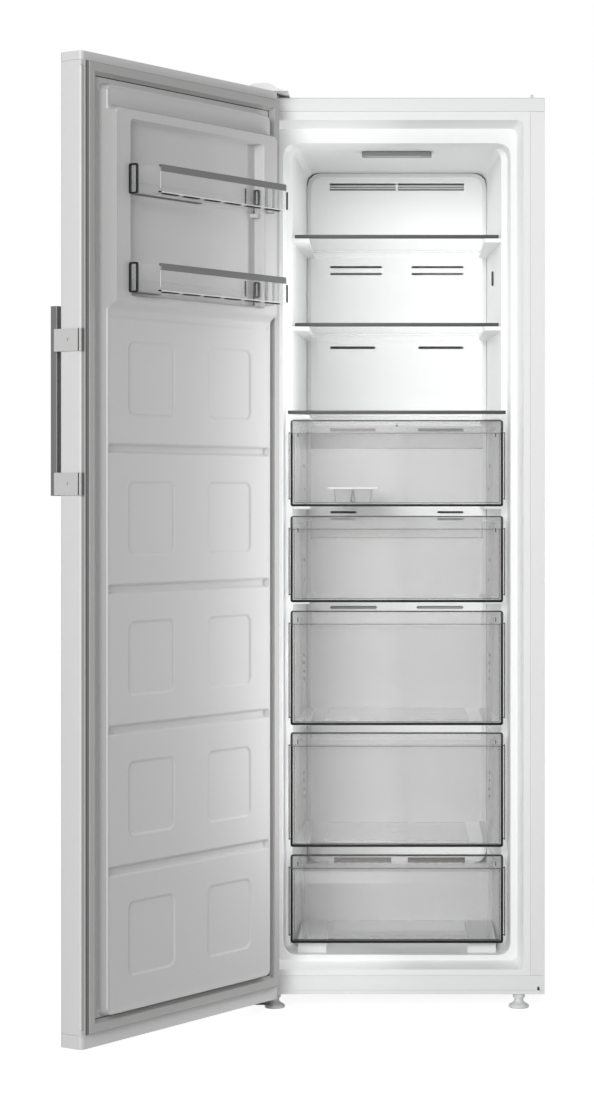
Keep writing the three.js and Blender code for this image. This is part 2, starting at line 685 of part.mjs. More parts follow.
// Pairs of air slots in the back panel: level of the middle, inner end, height of a slot, rows.
const VENT_OUTER = CAVITY_HALF_BACK - 48.5;
const VENTS = [
  { z: SHELF_1_Z - 38, inner: 32, height: 5, rows: 2 },
  { z: SHELF_2_Z - 26.5, inner: 46.5, height: 6, rows: 1 },
  { z: SHELF_3_Z - 25, inner: 46.5, height: 5, rows: 1 },
  { z: DRAWER_2.top - 2.5, inner: 88, height: 5, rows: 2 },
  { z: DRAWER_3.top - 10.7, inner: 43, height: 7, rows: 1 },
  { z: DRAWER_5.top - 56.7, inner: 23, height: 12, rows: 1 },
];
const VENT_ROW_PITCH = 15;
const LOUVRE_Z = CAVITY_TOP - 38;
const LOUVRE_HEIGHT = 16;
const LOUVRE_OUTER = CAVITY_HALF_BACK - 48;
const LOUVRE_DIVIDER = 2.5;
const LOUVRE_SLATS = 2;

function panelForm(grow) {
  const bottom = HUMP_TOP + SEAT - grow;
  const half = wallHalf(PANEL_Y + PANEL_EDGE_DEPTH) - PANEL_GAP + grow;
  const top = ceiling(PANEL_Y + PANEL_EDGE_DEPTH) - PANEL_GAP + grow;
  const inner = half - PANEL_BEVEL;
  const edge = PANEL_Y + PANEL_EDGE_DEPTH;
  const radius = CAVITY_RADIUS + PANEL_BEVEL / 2;
  return loft([
    ringAt(PANEL_Y - grow, inner, bottom + PANEL_BEVEL, top - PANEL_BEVEL, CAVITY_RADIUS),
    ringAt(edge, half, bottom, top, radius),
    ringAt(edge + (grow < 0 ? OVERRUN : 0.5), half, bottom, top, radius),
  ]);
}

// Cover of the cold unit: a shallow tray with louvres at the top, air slots and four bosses.
function backPanel() {
  const back = PANEL_Y + PANEL_WALL + OVERRUN;
  const slots = VENTS.flatMap(({ z, inner, height, rows }) =>
    Array.from({ length: rows }, (_, row) => {
      const middle = level(z) + (row - (rows - 1) / 2) * VENT_ROW_PITCH;
      const opening = ([u0, u1]) =>
        prism(
          roundedRect(u0, u1, middle - height / 2, middle + height / 2, height / 2 - 0.1, 1),
          "y", PANEL_Y - OVERRUN, back,
        );
      return [[-VENT_OUTER, -inner], [inner, VENT_OUTER]].map(opening);
    }).flat(),
  );
  const louvreWindows = pair(
    LOUVRE_DIVIDER, LOUVRE_OUTER, PANEL_Y - OVERRUN, back,
    LOUVRE_Z - LOUVRE_HEIGHT / 2, LOUVRE_Z + LOUVRE_HEIGHT / 2,
  );
  const slats = Array.from({ length: LOUVRE_SLATS }, (_, k) => {
    const z = LOUVRE_Z + LOUVRE_HEIGHT * ((k + 1) / (LOUVRE_SLATS + 1) - 0.5);
    return prism(
      polygon([
        [PANEL_Y + 0.4, z - 1.6],
        [PANEL_Y + PANEL_WALL + 2, z + 0.8],
        [PANEL_Y + PANEL_WALL + 2, z + 1.8],
        [PANEL_Y + 0.4, z - 0.6],
      ]),
      "x", -LOUVRE_OUTER - 1, LOUVRE_OUTER + 1,
    );
  });
  const bosses = [-1, 1].flatMap((side) =>
    [HUMP_TOP + 120, LOUVRE_Z - 60].map((z) =>
      bar(
        "y", PANEL_BOSS_RADIUS, 8, PANEL_Y + PANEL_WALL / 2, CAVITY_BACK - SEAT,
        side * (LOUVRE_OUTER + 22), z,
      ),
    ),
  );
  const screwZ = level(VENTS[2].z) + 8;
  const screw = bar("y", 4, 8, PANEL_Y - 1.2, PANEL_Y + 1, 0, screwZ);
  const tray = cut(panelForm(0), panelForm(-PANEL_WALL));
  return join(cut(tray, slots, louvreWindows), slats, bosses, screw);
}

// Finned cooling coil on two brackets at the liner's back.
function evaporator() {
  const path = serpentine(
    EVAPORATOR_PASSES, EVAPORATOR_PITCH, -EVAPORATOR_HALF_WIDTH, EVAPORATOR_HALF_WIDTH,
  );
  const z0 = EVAPORATOR_BOTTOM + EVAPORATOR_PITCH / 2;
  const points = path.map(([x, z]) => new THREE.Vector3(x, EVAPORATOR_Y, z0 + z));
  const tube = tubeAlong(points, TUBE_RADIUS, 6, new THREE.Vector3(0, 1, 0));
  const height = EVAPORATOR_PASSES * EVAPORATOR_PITCH;
  const finSpan = 2 * EVAPORATOR_HALF_WIDTH - 20;
  const fins = Array.from({ length: EVAPORATOR_FINS }, (_, k) => {
    const x = finSpan * (k / (EVAPORATOR_FINS - 1) - 0.5);
    const ends = k === 0 || k === EVAPORATOR_FINS - 1;
    const rear = ends ? CAVITY_BACK - SEAT : EVAPORATOR_Y + FIN_DEPTH / 2;
    return block(
      x - FIN_THICKNESS / 2, x + FIN_THICKNESS / 2, EVAPORATOR_Y - FIN_DEPTH / 2, rear,
      EVAPORATOR_BOTTOM, EVAPORATOR_BOTTOM + height,
    );
  });
  return join(tube, fins);
}

// One blade: thin sections that turn as they go out from the hub.
function fanBlade(turn) {
  const stations = [HUB_RADIUS - 2, (HUB_RADIUS + FAN_RADIUS) / 2, FAN_RADIUS];
  const rings = stations.map((radius, k) => {
    const pitch = radians(52 - 14 * k);
    const chord = 13 + 5 * k;
    const thick = 1.2;
    return [
      [-chord, -thick],
      [chord, -thick],
      [chord, thick],
      [-chord, thick],
    ].map(([along, across]) => {
      const side = along * Math.cos(pitch) - across * Math.sin(pitch);
      const deep = along * Math.sin(pitch) + across * Math.cos(pitch);
      const limit = (FAN_DEPTH - 2) / 2;
      const y = FAN_FRONT + FAN_DEPTH / 2 + THREE.MathUtils.clamp(deep, -limit, limit);
      const point = new THREE.Vector3(side, 0, radius);
      point.applyAxisAngle(new THREE.Vector3(0, 1, 0), turn);
      return new THREE.Vector3(point.x, y, FAN_Z + point.z);
    });
  });
  return loft(rings);
}

// Fan wheel with twisted blades, open at its shaft.
function evaporatorFan() {
  const hub = bar("y", HUB_RADIUS, 16, FAN_FRONT, FAN_FRONT + FAN_DEPTH, 0, FAN_Z);
  const bore = bar(
    "y", SHAFT_RADIUS + SHAFT_PLAY, 16, FAN_FRONT + 4, FAN_FRONT + FAN_DEPTH + OVERRUN, 0, FAN_Z,
  );
  const blades = Array.from({ length: FAN_BLADES }, (_, k) => fanBlade((2 * Math.PI * k) / FAN_BLADES));
  return cut(join(hub, blades), bore);
}

// Fan motor with its shaft, on a plate with three arms at the liner's back.
function fanMotor() {
  const back = CAVITY_BACK - SEAT;
  const front = FAN_FRONT + FAN_DEPTH + 2;
  const can = bar("y", MOTOR_RADIUS, 20, front, back, 0, FAN_Z);
  const shaft = bar("y", SHAFT_RADIUS, 16, FAN_FRONT + 4 + SEAT, front + 1, 0, FAN_Z);
  const arms = [0, 1, 2].map((k) => {
    const arm = new THREE.BoxGeometry(12, 4, FAN_RADIUS + 20);
    arm.translate(0, back - 2, (FAN_RADIUS + 20) / 2);
    arm.rotateY((2 * Math.PI * k) / 3);
    return solid(arm.translate(0, 0, FAN_Z));
  });
  return join(can, shaft, arms);
}

// Drain from the floor step down to the tray on the compressor.
function drainTube() {
  const bottom = NICHE_TOP - 12;
  const funnel = DRAIN_BORE + DRAIN_WALL + 9;
  const lip = HUMP_TOP + SEAT;
  return turned(
    [
      [DRAIN_BORE, bottom],
      [DRAIN_BORE + DRAIN_WALL, bottom],
      [DRAIN_BORE + DRAIN_WALL, lip],
      [funnel, lip],
      [funnel, lip + DRAIN_WALL],
      [DRAIN_BORE, lip + DRAIN_WALL],
      [DRAIN_BORE, bottom],
    ],
    12, 0, DRAIN_Y, 0,
  );
}

// ---------------------------------------------------------------- machine space

const COMPRESSOR_FOOT_Z = BASE_PLATE_TOP + SEAT;
const COMPRESSOR_Z = COMPRESSOR_FOOT_Z + GROMMET_HEIGHT + MOUNT_PLATE;

// Sealed oval compressor with its mounting plate, grommets and three pipe stubs.
function compressor() {
  const r = COMPRESSOR_RADIUS;
  const h = COMPRESSOR_HEIGHT;
  const seam = h * 0.45;
  const shellGeometry = new THREE.LatheGeometry(
    [
      [0, 0],
      [r * 0.75, 0],
      [r, h * 0.25],
      [r, seam - 2],
      [r + 3, seam - 2],
      [r + 3, seam + 2],
      [r, seam + 2],
      [r * 0.97, h * 0.72],
      [r * 0.8, h * 0.92],
      [r * 0.5, h],
      [0, h],
    ].map(([radius, z]) => new THREE.Vector2(radius, z)),
    20,
  );
  shellGeometry.rotateX(Math.PI / 2).scale(COMPRESSOR_STRETCH, 1, 1);
  const shell = solid(shellGeometry.translate(COMPRESSOR_X, COMPRESSOR_Y, COMPRESSOR_Z - 0.5));
  const plateHalf = r * COMPRESSOR_STRETCH + 18;
  const plate = prism(
    roundedRect(COMPRESSOR_X - plateHalf, COMPRESSOR_X + plateHalf, COMPRESSOR_Y - r, COMPRESSOR_Y + r, 12),
    "z", COMPRESSOR_Z - MOUNT_PLATE, COMPRESSOR_Z,
  );
  const grommets = [-1, 1].flatMap((sx) =>
    [-1, 1].map((sy) =>
      bar(
        "z", 11, 8, COMPRESSOR_FOOT_Z, COMPRESSOR_Z + 5, COMPRESSOR_X + sx * (plateHalf - 14),
        COMPRESSOR_Y + sy * (r - 14),
      ),
    ),
  );
  const stubs = [-18, 0, 18].map((dy) =>
    bar(
      "x", 4, 6, COMPRESSOR_X - r * COMPRESSOR_STRETCH - 22, COMPRESSOR_X - r, COMPRESSOR_Y + dy,
      COMPRESSOR_Z + h * 0.3,
    ),
  );
  return join(shell, plate, grommets, stubs);
}

// Cover of the compressor's electric terminals.
function terminalCover() {
  const x0 = COMPRESSOR_X + COMPRESSOR_RADIUS * COMPRESSOR_STRETCH + 3 + 2 * SEAT;
  const outline = roundedRect(COMPRESSOR_Y - 26, COMPRESSOR_Y + 26, COMPRESSOR_Z + 14, COMPRESSOR_Z + 78, 7);
  const inside = roundedRect(COMPRESSOR_Y - 23, COMPRESSOR_Y + 23, COMPRESSOR_Z + 17, COMPRESSOR_Z + 75, 5);
  const mouth = COMPRESSOR_RADIUS * COMPRESSOR_STRETCH * 0.12;
  const box = cut(prism(outline, "x", x0 - mouth, x0 + 34), prism(inside, "x", x0 - mouth - 1, x0 + 31));
  const r = COMPRESSOR_RADIUS + 3 + SEAT;
  const dome = new THREE.CylinderGeometry(r, r, COMPRESSOR_HEIGHT + 20, 32);
  dome.rotateX(Math.PI / 2).scale(COMPRESSOR_STRETCH, 1, 1);
  return cut(box, solid(dome.translate(COMPRESSOR_X, COMPRESSOR_Y, COMPRESSOR_Z + COMPRESSOR_HEIGHT / 2)));
}

// Tray that catches the thaw water on the warm compressor.
function dripTray() {
  const bottom = COMPRESSOR_Z - 0.5 + COMPRESSOR_HEIGHT + SEAT;
  const x0 = -40;
  const x1 = COMPRESSOR_X + 70;
  const outline = (grow, z) =>
    roundCorners(
      [
        new THREE.Vector2(x0 - grow, COMPRESSOR_Y - 50 - grow),
        new THREE.Vector2(x1 + grow, COMPRESSOR_Y - 50 - grow),
        new THREE.Vector2(x1 + grow, COMPRESSOR_Y + 55 + grow),
        new THREE.Vector2(x0 - grow, COMPRESSOR_Y + 55 + grow),
      ],
      14, SMALL_ROUND,
    ).map((p) => new THREE.Vector3(p.x, p.y, z));
  const outer = loft([outline(0, bottom), outline(5, bottom + TRAY_HEIGHT)]);
  const inner = loft([outline(-2, bottom + 2), outline(3, bottom + TRAY_HEIGHT + 1)]);
  return cut(outer, inner);
}

// ---------------------------------------------------------------- lamp and sensor

const LAMP_TOP = ceiling(LAMP_FRONT + LAMP_DEPTH) - SEAT;

// Lamp bar under the ceiling, open below for its lens.
function lampHousing() {
  const outline = roundedRect(-LAMP_HALF, LAMP_HALF, LAMP_FRONT, LAMP_FRONT + LAMP_DEPTH, 5);
  const body = prism(outline, "z", LAMP_TOP - LAMP_HEIGHT, LAMP_TOP);
  const pocket = prism(
    roundedRect(-LAMP_HALF + 8, LAMP_HALF - 22, LAMP_FRONT + 6, LAMP_FRONT + LAMP_DEPTH - 6, 3),
    "z", LAMP_TOP - LAMP_HEIGHT - 1, LAMP_TOP - 2,
  );
  const button = bar("y", 3, 12, LAMP_FRONT - 2, LAMP_FRONT + 1, LAMP_HALF - 12, LAMP_TOP - LAMP_HEIGHT / 2);
  return join(cut(body, pocket), button);
}

function lampLens() {
  const outline = roundedRect(
    -LAMP_HALF + 8 + SEAT, LAMP_HALF - 22 - SEAT, LAMP_FRONT + 6 + SEAT,
    LAMP_FRONT + LAMP_DEPTH - 6 - SEAT, 3,
  );
  return prism(outline, "z", LAMP_TOP - LAMP_HEIGHT, LAMP_TOP - LAMP_HEIGHT + 2.5).add(
    bar("z", 3, 8, LAMP_TOP - LAMP_HEIGHT + 2, LAMP_TOP - 2 - SEAT, 0, LAMP_FRONT + LAMP_DEPTH / 2),
  );
}

// Small cover with two slits, lying on the sloping right wall.
function sensorCover() {
  const plate = prism(
    roundedRect(-SENSOR_LENGTH / 2, SENSOR_LENGTH / 2, -SENSOR_HEIGHT / 2, SENSOR_HEIGHT / 2, 3),
    "x", -SENSOR_THICKNESS, 0,
  );
  const slits = [-3, 3].map((y) =>
    block(-SENSOR_THICKNESS - 1, -SENSOR_THICKNESS + 1.6, y - 0.8, y + 0.8, -10, 10),
  );
  return cut(plate, slits);
}

// ---------------------------------------------------------------- shelves

// Half the width of a shelf at depth y: it follows the wall, with the step where the wall has it.
const shelfHalf = (y) => wallHalf(Math.max(y, STEP_Y)) - SHELF_SIDE_PLAY;

// Glass pane: tapered to the back, and wider in front of the step where it starts there.
function shelfGlass({ z, front }) {
  const y0 = front + SHELF_TRIM_DEPTH - SHELF_GROOVE_DEPTH;
  const y1 = SHELF_BACK - SHELF_TRIM_DEPTH + SHELF_GROOVE_DEPTH;
  const wide = STEP_HALF_BEFORE - SHELF_SIDE_PLAY;
  const neck = STEP_Y - STEP_LENGTH - SHELF_SIDE_PLAY;
  const side =
    front < neck
      ? [
          [wide, y0],
          [wide, neck],
          [shelfHalf(STEP_Y), neck],
        ]
      : [[shelfHalf(y0), y0]];
  const right = [...side, [shelfHalf(y1), y1]];
  const left = right.map(([x, y]) => [-x, y]).reverse();
  const bottom = z - GLASS_THICKNESS / 2;
  return prism(polygon([...left, ...right]), "z", bottom, bottom + GLASS_THICKNESS);
}

// Front trim that grips the glass; its profile is in (y, z).
function shelfFrontTrim({ z, front }) {
  const half = front < STEP_Y - STEP_LENGTH ? STEP_HALF_BEFORE - SHELF_SIDE_PLAY : shelfHalf(front);
  const outline = roundedRect(
    front, front + SHELF_TRIM_DEPTH, z - SHELF_THICKNESS / 2, z + SHELF_THICKNESS / 2, 1.2,
  );
  const groove = block(
    -HALF_WIDTH, HALF_WIDTH, front + SHELF_TRIM_DEPTH - SHELF_GROOVE_DEPTH - SEAT,
    front + SHELF_TRIM_DEPTH + OVERRUN, z - GLASS_THICKNESS / 2 - SEAT, z + GLASS_THICKNESS / 2 + SEAT,
  );
  return cut(prism(outline, "x", -half, half), groove);
}

// Rear trim with a flange that hangs between the rails.
function shelfRearTrim({ z }) {
  const half = shelfHalf(SHELF_BACK);
  const front = SHELF_BACK - SHELF_TRIM_DEPTH;
  const outline = roundedRect(front, SHELF_BACK, z - SHELF_THICKNESS / 2, z + SHELF_THICKNESS / 2, 1.2);
  const flangeHalf = RAIL_INNER - 2;
  const flange = block(
    -flangeHalf, flangeHalf, SHELF_BACK - 3, SHELF_BACK, z - SHELF_REAR_DROP, z - SHELF_THICKNESS / 4,
  );
  const groove = block(
    -HALF_WIDTH, HALF_WIDTH, front - OVERRUN, SHELF_BACK - SHELF_TRIM_DEPTH + SHELF_GROOVE_DEPTH + SEAT,
    z - GLASS_THICKNESS / 2 - SEAT, z + GLASS_THICKNESS / 2 + SEAT,
  );
  return cut(join(prism(outline, "x", -half, half), flange), groove);
}

// ---------------------------------------------------------------- drawers

const FRONT_BACK_Y = DRAWER_FRONT_Y + DRAWER_FRONT_DEPTH;
const TUB_FRONT = FRONT_BACK_Y + SEAT;

// Points of the front's face in (y, z), from the bottom up, moved inwards by a wall.
function frontPath({ bottom, top }, inset) {
  const rim = top - GRIP_HEIGHT;
  const face = DRAWER_FRONT_Y + DRAWER_FACE_SETBACK;
  return [
    [face + 2 + inset, bottom + inset],
    [face + inset, bottom + 3 + inset],
    [face + inset, rim - GRIP_RECESS],
    [DRAWER_FRONT_Y + GRIP_DEPTH - 3 + inset, rim - 5],
    [DRAWER_FRONT_Y + GRIP_DEPTH + inset, rim + inset],
    [DRAWER_FRONT_Y + inset, rim + inset],
    [DRAWER_FRONT_Y + inset, top - 3 - inset / 2],
    [DRAWER_FRONT_Y + 3 + inset / 2, top - inset],
  ];
}

// Transparent front: a hollow moulding with a grip along its top and a finger recess under it.
function drawerFront(drawer) {
  const outline = (inset, back) =>
    polygon([
      [back, drawer.bottom + inset],
      ...frontPath(drawer, inset),
      [back, drawer.top - inset],
    ]);
  const half = DRAWER_HALF_WIDTH;
  const outer = prism(outline(0, FRONT_BACK_Y), "x", -half, half);
  const inner = prism(
    outline(DRAWER_WALL, FRONT_BACK_Y + OVERRUN), "x", -half + DRAWER_WALL, half - DRAWER_WALL,
  );
  const face = prism(
    roundedRect(-half, half, drawer.bottom, drawer.top, DRAWER_CORNER), "y", 0, CAVITY_BACK,
  );
  return cut(outer, inner).intersect(face);
}

// Plan of a tub at one height, moved inwards at its sides and back, and at its front by a wall.
function tubRing({ back }, inset, z, frontWall = 0) {
  const slope = (TUB_HALF_FRONT - TUB_HALF_BACK) / (TUB_BACK - TUB_FRONT);
  const backHalf = TUB_HALF_FRONT - slope * (back - TUB_FRONT);
  const corners = [
    new THREE.Vector2(-TUB_HALF_FRONT + inset, TUB_FRONT + frontWall),
    new THREE.Vector2(TUB_HALF_FRONT - inset, TUB_FRONT + frontWall),
    new THREE.Vector2(backHalf - inset, back - inset),
    new THREE.Vector2(-backHalf + inset, back - inset),
  ];
  return roundCorners(corners, TUB_RADIUS, SMALL_ROUND).map((p) => new THREE.Vector3(p.x, p.y, z));
}

// Tub with drafted walls, a rim, ribs on its floor and a flange that carries the front.
function drawerTub(drawer) {
  const z0 = tubBottom(drawer);
  const z1 = drawer.top - TUB_TOP_DROP;
  const floor = z0 + DRAWER_WALL;
  const outer = loft([tubRing(drawer, TUB_DRAFT + TUB_RIM, z0), tubRing(drawer, TUB_RIM, z1)]);
  const inner = loft([
    tubRing(drawer, TUB_DRAFT + TUB_RIM + DRAWER_WALL, floor, DRAWER_WALL),
    tubRing(drawer, TUB_RIM + DRAWER_WALL, z1 + 1, DRAWER_WALL),
  ]);
  const rim = loft([tubRing(drawer, 0, z1 - 4), tubRing(drawer, 0, z1)]);
  const half = DRAWER_HALF_WIDTH - DRAWER_WALL / 2;
  const outline = roundedRect(
    -half, half, drawer.bottom + DRAWER_WALL / 2, drawer.top - DRAWER_WALL / 2,
    DRAWER_CORNER - DRAWER_WALL / 2,
  );
  const flange = prism(outline, "y", TUB_FRONT, TUB_FRONT + DRAWER_WALL);
  const depth = drawer.back - TUB_FRONT;
  const lowered = block(
    -TUB_HALF_BACK + RIB_WIDTH * 2, TUB_HALF_BACK - RIB_WIDTH * 2, drawer.back - TUB_RADIUS,
    drawer.back + 1, drawer.top - TUB_REAR_DROP, drawer.top,
  );
  const ribs = Array.from({ length: TUB_RIBS }, (_, k) => {
    const y = TUB_FRONT + (depth * (k + 1)) / (TUB_RIBS + 1);
    return block(-120, 120, y - RIB_WIDTH / 2, y + RIB_WIDTH / 2, floor - 1, floor + RIB_HEIGHT);
  });
  return join(cut(join(outer, rim), inner, lowered), flange, ribs);
}

// Ice tray: one row of cells each side of a middle wall, under a wide rim.
function iceTray() {
  const bottom = tubBottom(DRAWERS[0]) + DRAWER_WALL + RIB_HEIGHT + SEAT;
  const top = bottom + ICE_HEIGHT;
  const half = ICE_WIDTH / 2;
  const y0 = ICE_Y - ICE_LENGTH / 2;
  const y1 = ICE_Y + ICE_LENGTH / 2;
  const ring = (inset, z) =>
    roundCorners(
      [
        new THREE.Vector2(ICE_X - half + inset, y0 + inset),
        new THREE.Vector2(ICE_X + half - inset, y0 + inset),
        new THREE.Vector2(ICE_X + half - inset, y1 - inset),
        new THREE.Vector2(ICE_X - half + inset, y1 - inset),
      ],
      6, SMALL_ROUND,
    ).map((p) => new THREE.Vector3(p.x, p.y, z));
  const body = loft([ring(ICE_RIM + 4, bottom), ring(ICE_RIM, top - 1)]);
  const rim = loft([ring(0, top - 4), ring(0, top)]);
  const pitch = (ICE_LENGTH - 2 * ICE_RIM) / ICE_CELLS;
  const cells = [-1, 1].flatMap((side) =>
    Array.from({ length: ICE_CELLS }, (_, k) => {
      const x = ICE_X + side * ((half - ICE_RIM) / 2);
      const y = y0 + ICE_RIM + pitch * (k + 0.5);
      const cell = (shrink, z) =>
        [
          [-1, -1],
          [1, -1],
          [1, 1],
          [-1, 1],
        ].map(
          ([u, v]) =>
            new THREE.Vector3(
              x + u * ((half - ICE_RIM) / 2 - ICE_WALL / 2 - shrink),
              y + v * (pitch / 2 - ICE_WALL / 2 - shrink),
              z,
            ),
        );
      return loft([cell(5, bottom + ICE_WALL), cell(0.8, top + 1)]);
    }),
  );
  return cut(join(body, rim), cells);
}

// ---------------------------------------------------------------- door, drawn closed

// Depth at a height above the door's inner plane.
const above = (height) => DOOR_INNER_Y + height;

const doorPlan = (inset) =>
  roundedRect(
    -EDGE_X + inset, EDGE_X - inset, DOOR_OUTER_Y + inset, DOOR_INNER_Y - inset,
    Math.max(DOOR_ROUND - inset, 1),
  );

// Lugs of the end caps that reach round the inner corners of the door.
function capLugs(cap, grow) {
  const [z0, z1] = cap.top
    ? [cap.from - CAP_LUG_HEIGHT - grow, cap.from + 1]
    : [cap.to - 1, cap.to + CAP_LUG_HEIGHT + grow];
  return pair(
    EDGE_X - CAP_LUG_WIDTH - grow, EDGE_X + (grow ? OVERRUN : 0), DOOR_INNER_Y - CAP_LUG_DEPTH - grow,
    DOOR_INNER_Y + (grow ? OVERRUN : 0), z0, z1,
  );
}

const TOP_CAP = { top: true, from: DOOR_TOP - TOP_CAP_HEIGHT, to: DOOR_TOP };
const BOTTOM_CAP = { top: false, from: DOOR_BOTTOM, to: DOOR_BOTTOM + BOTTOM_CAP_HEIGHT };

// Folded outer skin: front, both edges and the flanges turned in at the back.
function doorSkin() {
  const z0 = BOTTOM_CAP.to + SEAT;
  const z1 = TOP_CAP.from - SEAT;
  const outer = prism(doorPlan(0), "z", z0, z1);
  const inner = prism(doorPlan(SHEET), "z", z0 - 1, z1 + 1);
  const opening = EDGE_X - DOOR_FLANGE;
  const window = block(-opening, opening, DOOR_INNER_Y - 2 * SHEET, DOOR_INNER_Y + OVERRUN, z0 - 1, z1 + 1);
  return cut(outer, inner, window, capLugs(TOP_CAP, SEAT), capLugs(BOTTOM_CAP, SEAT));
}

// End cap: a slab over the whole section, a spigot inside the skin and a hinge bore.
function doorCap(cap) {
  const spigotPlan = roundedRect(
    -EDGE_X + SHEET + CAP_LUG_WIDTH + 1, EDGE_X - SHEET - CAP_LUG_WIDTH - 1,
    DOOR_OUTER_Y + SHEET + SEAT, DOOR_INNER_Y - LINER_WALL - 3 * SEAT, DOOR_ROUND,
  );
  const spigot = cap.top ? [cap.from - CAP_SPIGOT, cap.from + 1] : [cap.to - 1, cap.to + CAP_SPIGOT];
  const body = join(
    prism(doorPlan(0), "z", cap.from, cap.to),
    prism(spigotPlan, "z", ...spigot),
    capLugs(cap, 0),
  );
  const mouth = cap.top
    ? [DOOR_TOP - PIN_LENGTH - 1, DOOR_TOP + 1]
    : [DOOR_BOTTOM - 1, DOOR_BOTTOM + PIN_LENGTH + 1];
  return cut(body, bar("z", PIN_RADIUS + PIN_PLAY, 16, ...mouth, HINGE_X, HINGE_Y));
}

// The raised form of the door liner, drawn in by a wall: 0 gives its visible face.
function linerForm(inset) {
  const base = DOOR_INNER_Y - (inset ? 2 * OVERRUN : LINER_WALL);
  const ring = (y, draft) =>
    ringAt(
      y, PLUG_HALF - draft - inset, PLUG_BOTTOM + draft + inset, PLUG_TOP - draft - inset,
      PLUG_RADIUS - inset,
    );
  const plug = loft([ring(base, 0), ring(DOOR_INNER_Y, 0), ring(above(PLUG_HEIGHT) - inset, PLUG_DRAFT)]);
  const foot = above(PLUG_HEIGHT) - inset - 2;
  const crest = above(DYKE_HEIGHT) - inset;
  const frame = loft([
    ringAt(
      foot, DYKE_HALF_OUTER + DYKE_DRAFT - inset, DYKE_BOTTOM_OUTER - DYKE_FOOT + inset,
      DYKE_TOP_OUTER + DYKE_DRAFT - inset, PLUG_RADIUS,
    ),
    ringAt(crest, DYKE_HALF_OUTER - inset, DYKE_BOTTOM_OUTER + inset, DYKE_TOP_OUTER - inset, PLUG_RADIUS),
  ]);
  const bay = loft([
    ringAt(
      above(PLUG_HEIGHT) - inset, DYKE_HALF_INNER - DYKE_DRAFT + inset,
      DYKE_BOTTOM_INNER + DYKE_DRAFT - inset,
      DYKE_TOP_INNER - DYKE_DRAFT + inset, DYKE_INNER_RADIUS,
    ),
    ringAt(
      crest + DYKE_DRAFT, DYKE_HALF_INNER + inset, DYKE_BOTTOM_INNER - inset, DYKE_TOP_INNER + inset,
      DYKE_INNER_RADIUS,
    ),
  ]);
  const face = above(PLUG_HEIGHT);
  const grooves = Array.from({ length: GROOVE_COUNT }, (_, k) => {
    const z = GROOVE_FIRST - k * GROOVE_PITCH;
    const half = GROOVE_HEIGHT / 2 + inset;
    return prism(
      polygon([
        [face - GROOVE_DEPTH - inset, z - half + 4],
        [face + OVERRUN, z - half - 4],
        [face + OVERRUN, z + half + 2],
        [face - GROOVE_DEPTH - inset, z + half - 1],
      ]),
      "x", -GROOVE_HALF - inset, GROOVE_HALF + inset,
    );
  });
  const fields = Array.from({ length: GROOVE_COUNT + 1 }, (_, k) => {
    const z = GROOVE_FIRST + GROOVE_PITCH / 2 - k * GROOVE_PITCH;
    const half = FIELD_HEIGHT / 2 + inset;
    return [-FIELD_X, FIELD_X].map((x) =>
      prism(
        roundedRect(
          x - FIELD_WIDTH / 2 - inset, x + FIELD_WIDTH / 2 + inset, z - half, z + half, FIELD_RADIUS + inset,
        ),
        "y", face - FIELD_DEPTH - inset, face + OVERRUN,
      ),
    );
  }).flat();
  return cut(join(plug, cut(frame, bay)), grooves, fields);
}

// Formed inner face of the door with lugs that carry the racks.
function doorLiner() {
  const half = EDGE_X - DOOR_FLANGE - SEAT;
  const z0 = BOTTOM_CAP.to + SEAT;
  const z1 = TOP_CAP.from - SEAT;
  const plate = block(-half, half, DOOR_INNER_Y - LINER_WALL, DOOR_INNER_Y, z0, z1);
  const lugs = RACKS.flatMap(({ bottom }) =>
    pair(
      RACK_BACK_HALF - RACK_LUG_DEPTH, DYKE_HALF_INNER - DYKE_DRAFT + LINER_WALL / 2, above(PLUG_HEIGHT) - 1,
      above(PLUG_HEIGHT) + RACK_LUG_DEPTH, bottom - SEAT - RACK_LUG_HEIGHT, bottom - SEAT,
    ),
  );
  return cut(join(plate, linerForm(0), lugs), linerForm(LINER_WALL));
}

// Foam inside the door.
function doorFoam() {
  const gap = SHEET + SEAT;
  const outline = roundedRect(
    -EDGE_X + gap + CAP_LUG_WIDTH, EDGE_X - gap - CAP_LUG_WIDTH, DOOR_OUTER_Y + gap,
    DOOR_INNER_Y - LINER_WALL - SEAT, DOOR_ROUND,
  );
  const slab = prism(outline, "z", BOTTOM_CAP.to + CAP_SPIGOT + SEAT, TOP_CAP.from - CAP_SPIGOT - SEAT);
  const below = block(
    -EDGE_X, EDGE_X, DOOR_OUTER_Y, DOOR_INNER_Y - LINER_WALL - 2 * SEAT, 0, DOOR_TOP + OVERRUN,
  );
  return join(slab, cut(linerForm(LINER_WALL + SEAT), below));
}

// Magnetic gasket: a bellows section carried round the door between its end caps, with mitred corners.
function doorGasket() {
  const foot = SEAT;
  const face = DOOR_GAP - GASKET_PLAY;
  const section = [
    [0, foot],
    [0, foot + 2.5],
    [3, foot + 3.5],
    [3.5, face - 3.5],
    [5, face],
    [GASKET_WIDTH - 6, face],
    [GASKET_WIDTH - 5, face - 3.5],
    [GASKET_WIDTH - 5.5, foot + 4],
    [GASKET_WIDTH, foot + 2],
    [GASKET_WIDTH, foot],
  ];
  const rings = section.map(([inset, height]) => {
    const half = EDGE_X - GASKET_EDGE - inset;
    const z0 = BOTTOM_CAP.to + SEAT + inset;
    const z1 = TOP_CAP.from - SEAT - inset;
    return [
      new THREE.Vector3(-half, above(height), z0),
      new THREE.Vector3(half, above(height), z0),
      new THREE.Vector3(half, above(height), z1),
      new THREE.Vector3(-half, above(height), z1),
    ];
  });
  return loft(rings, true);
}

// ---------------------------------------------------------------- racks

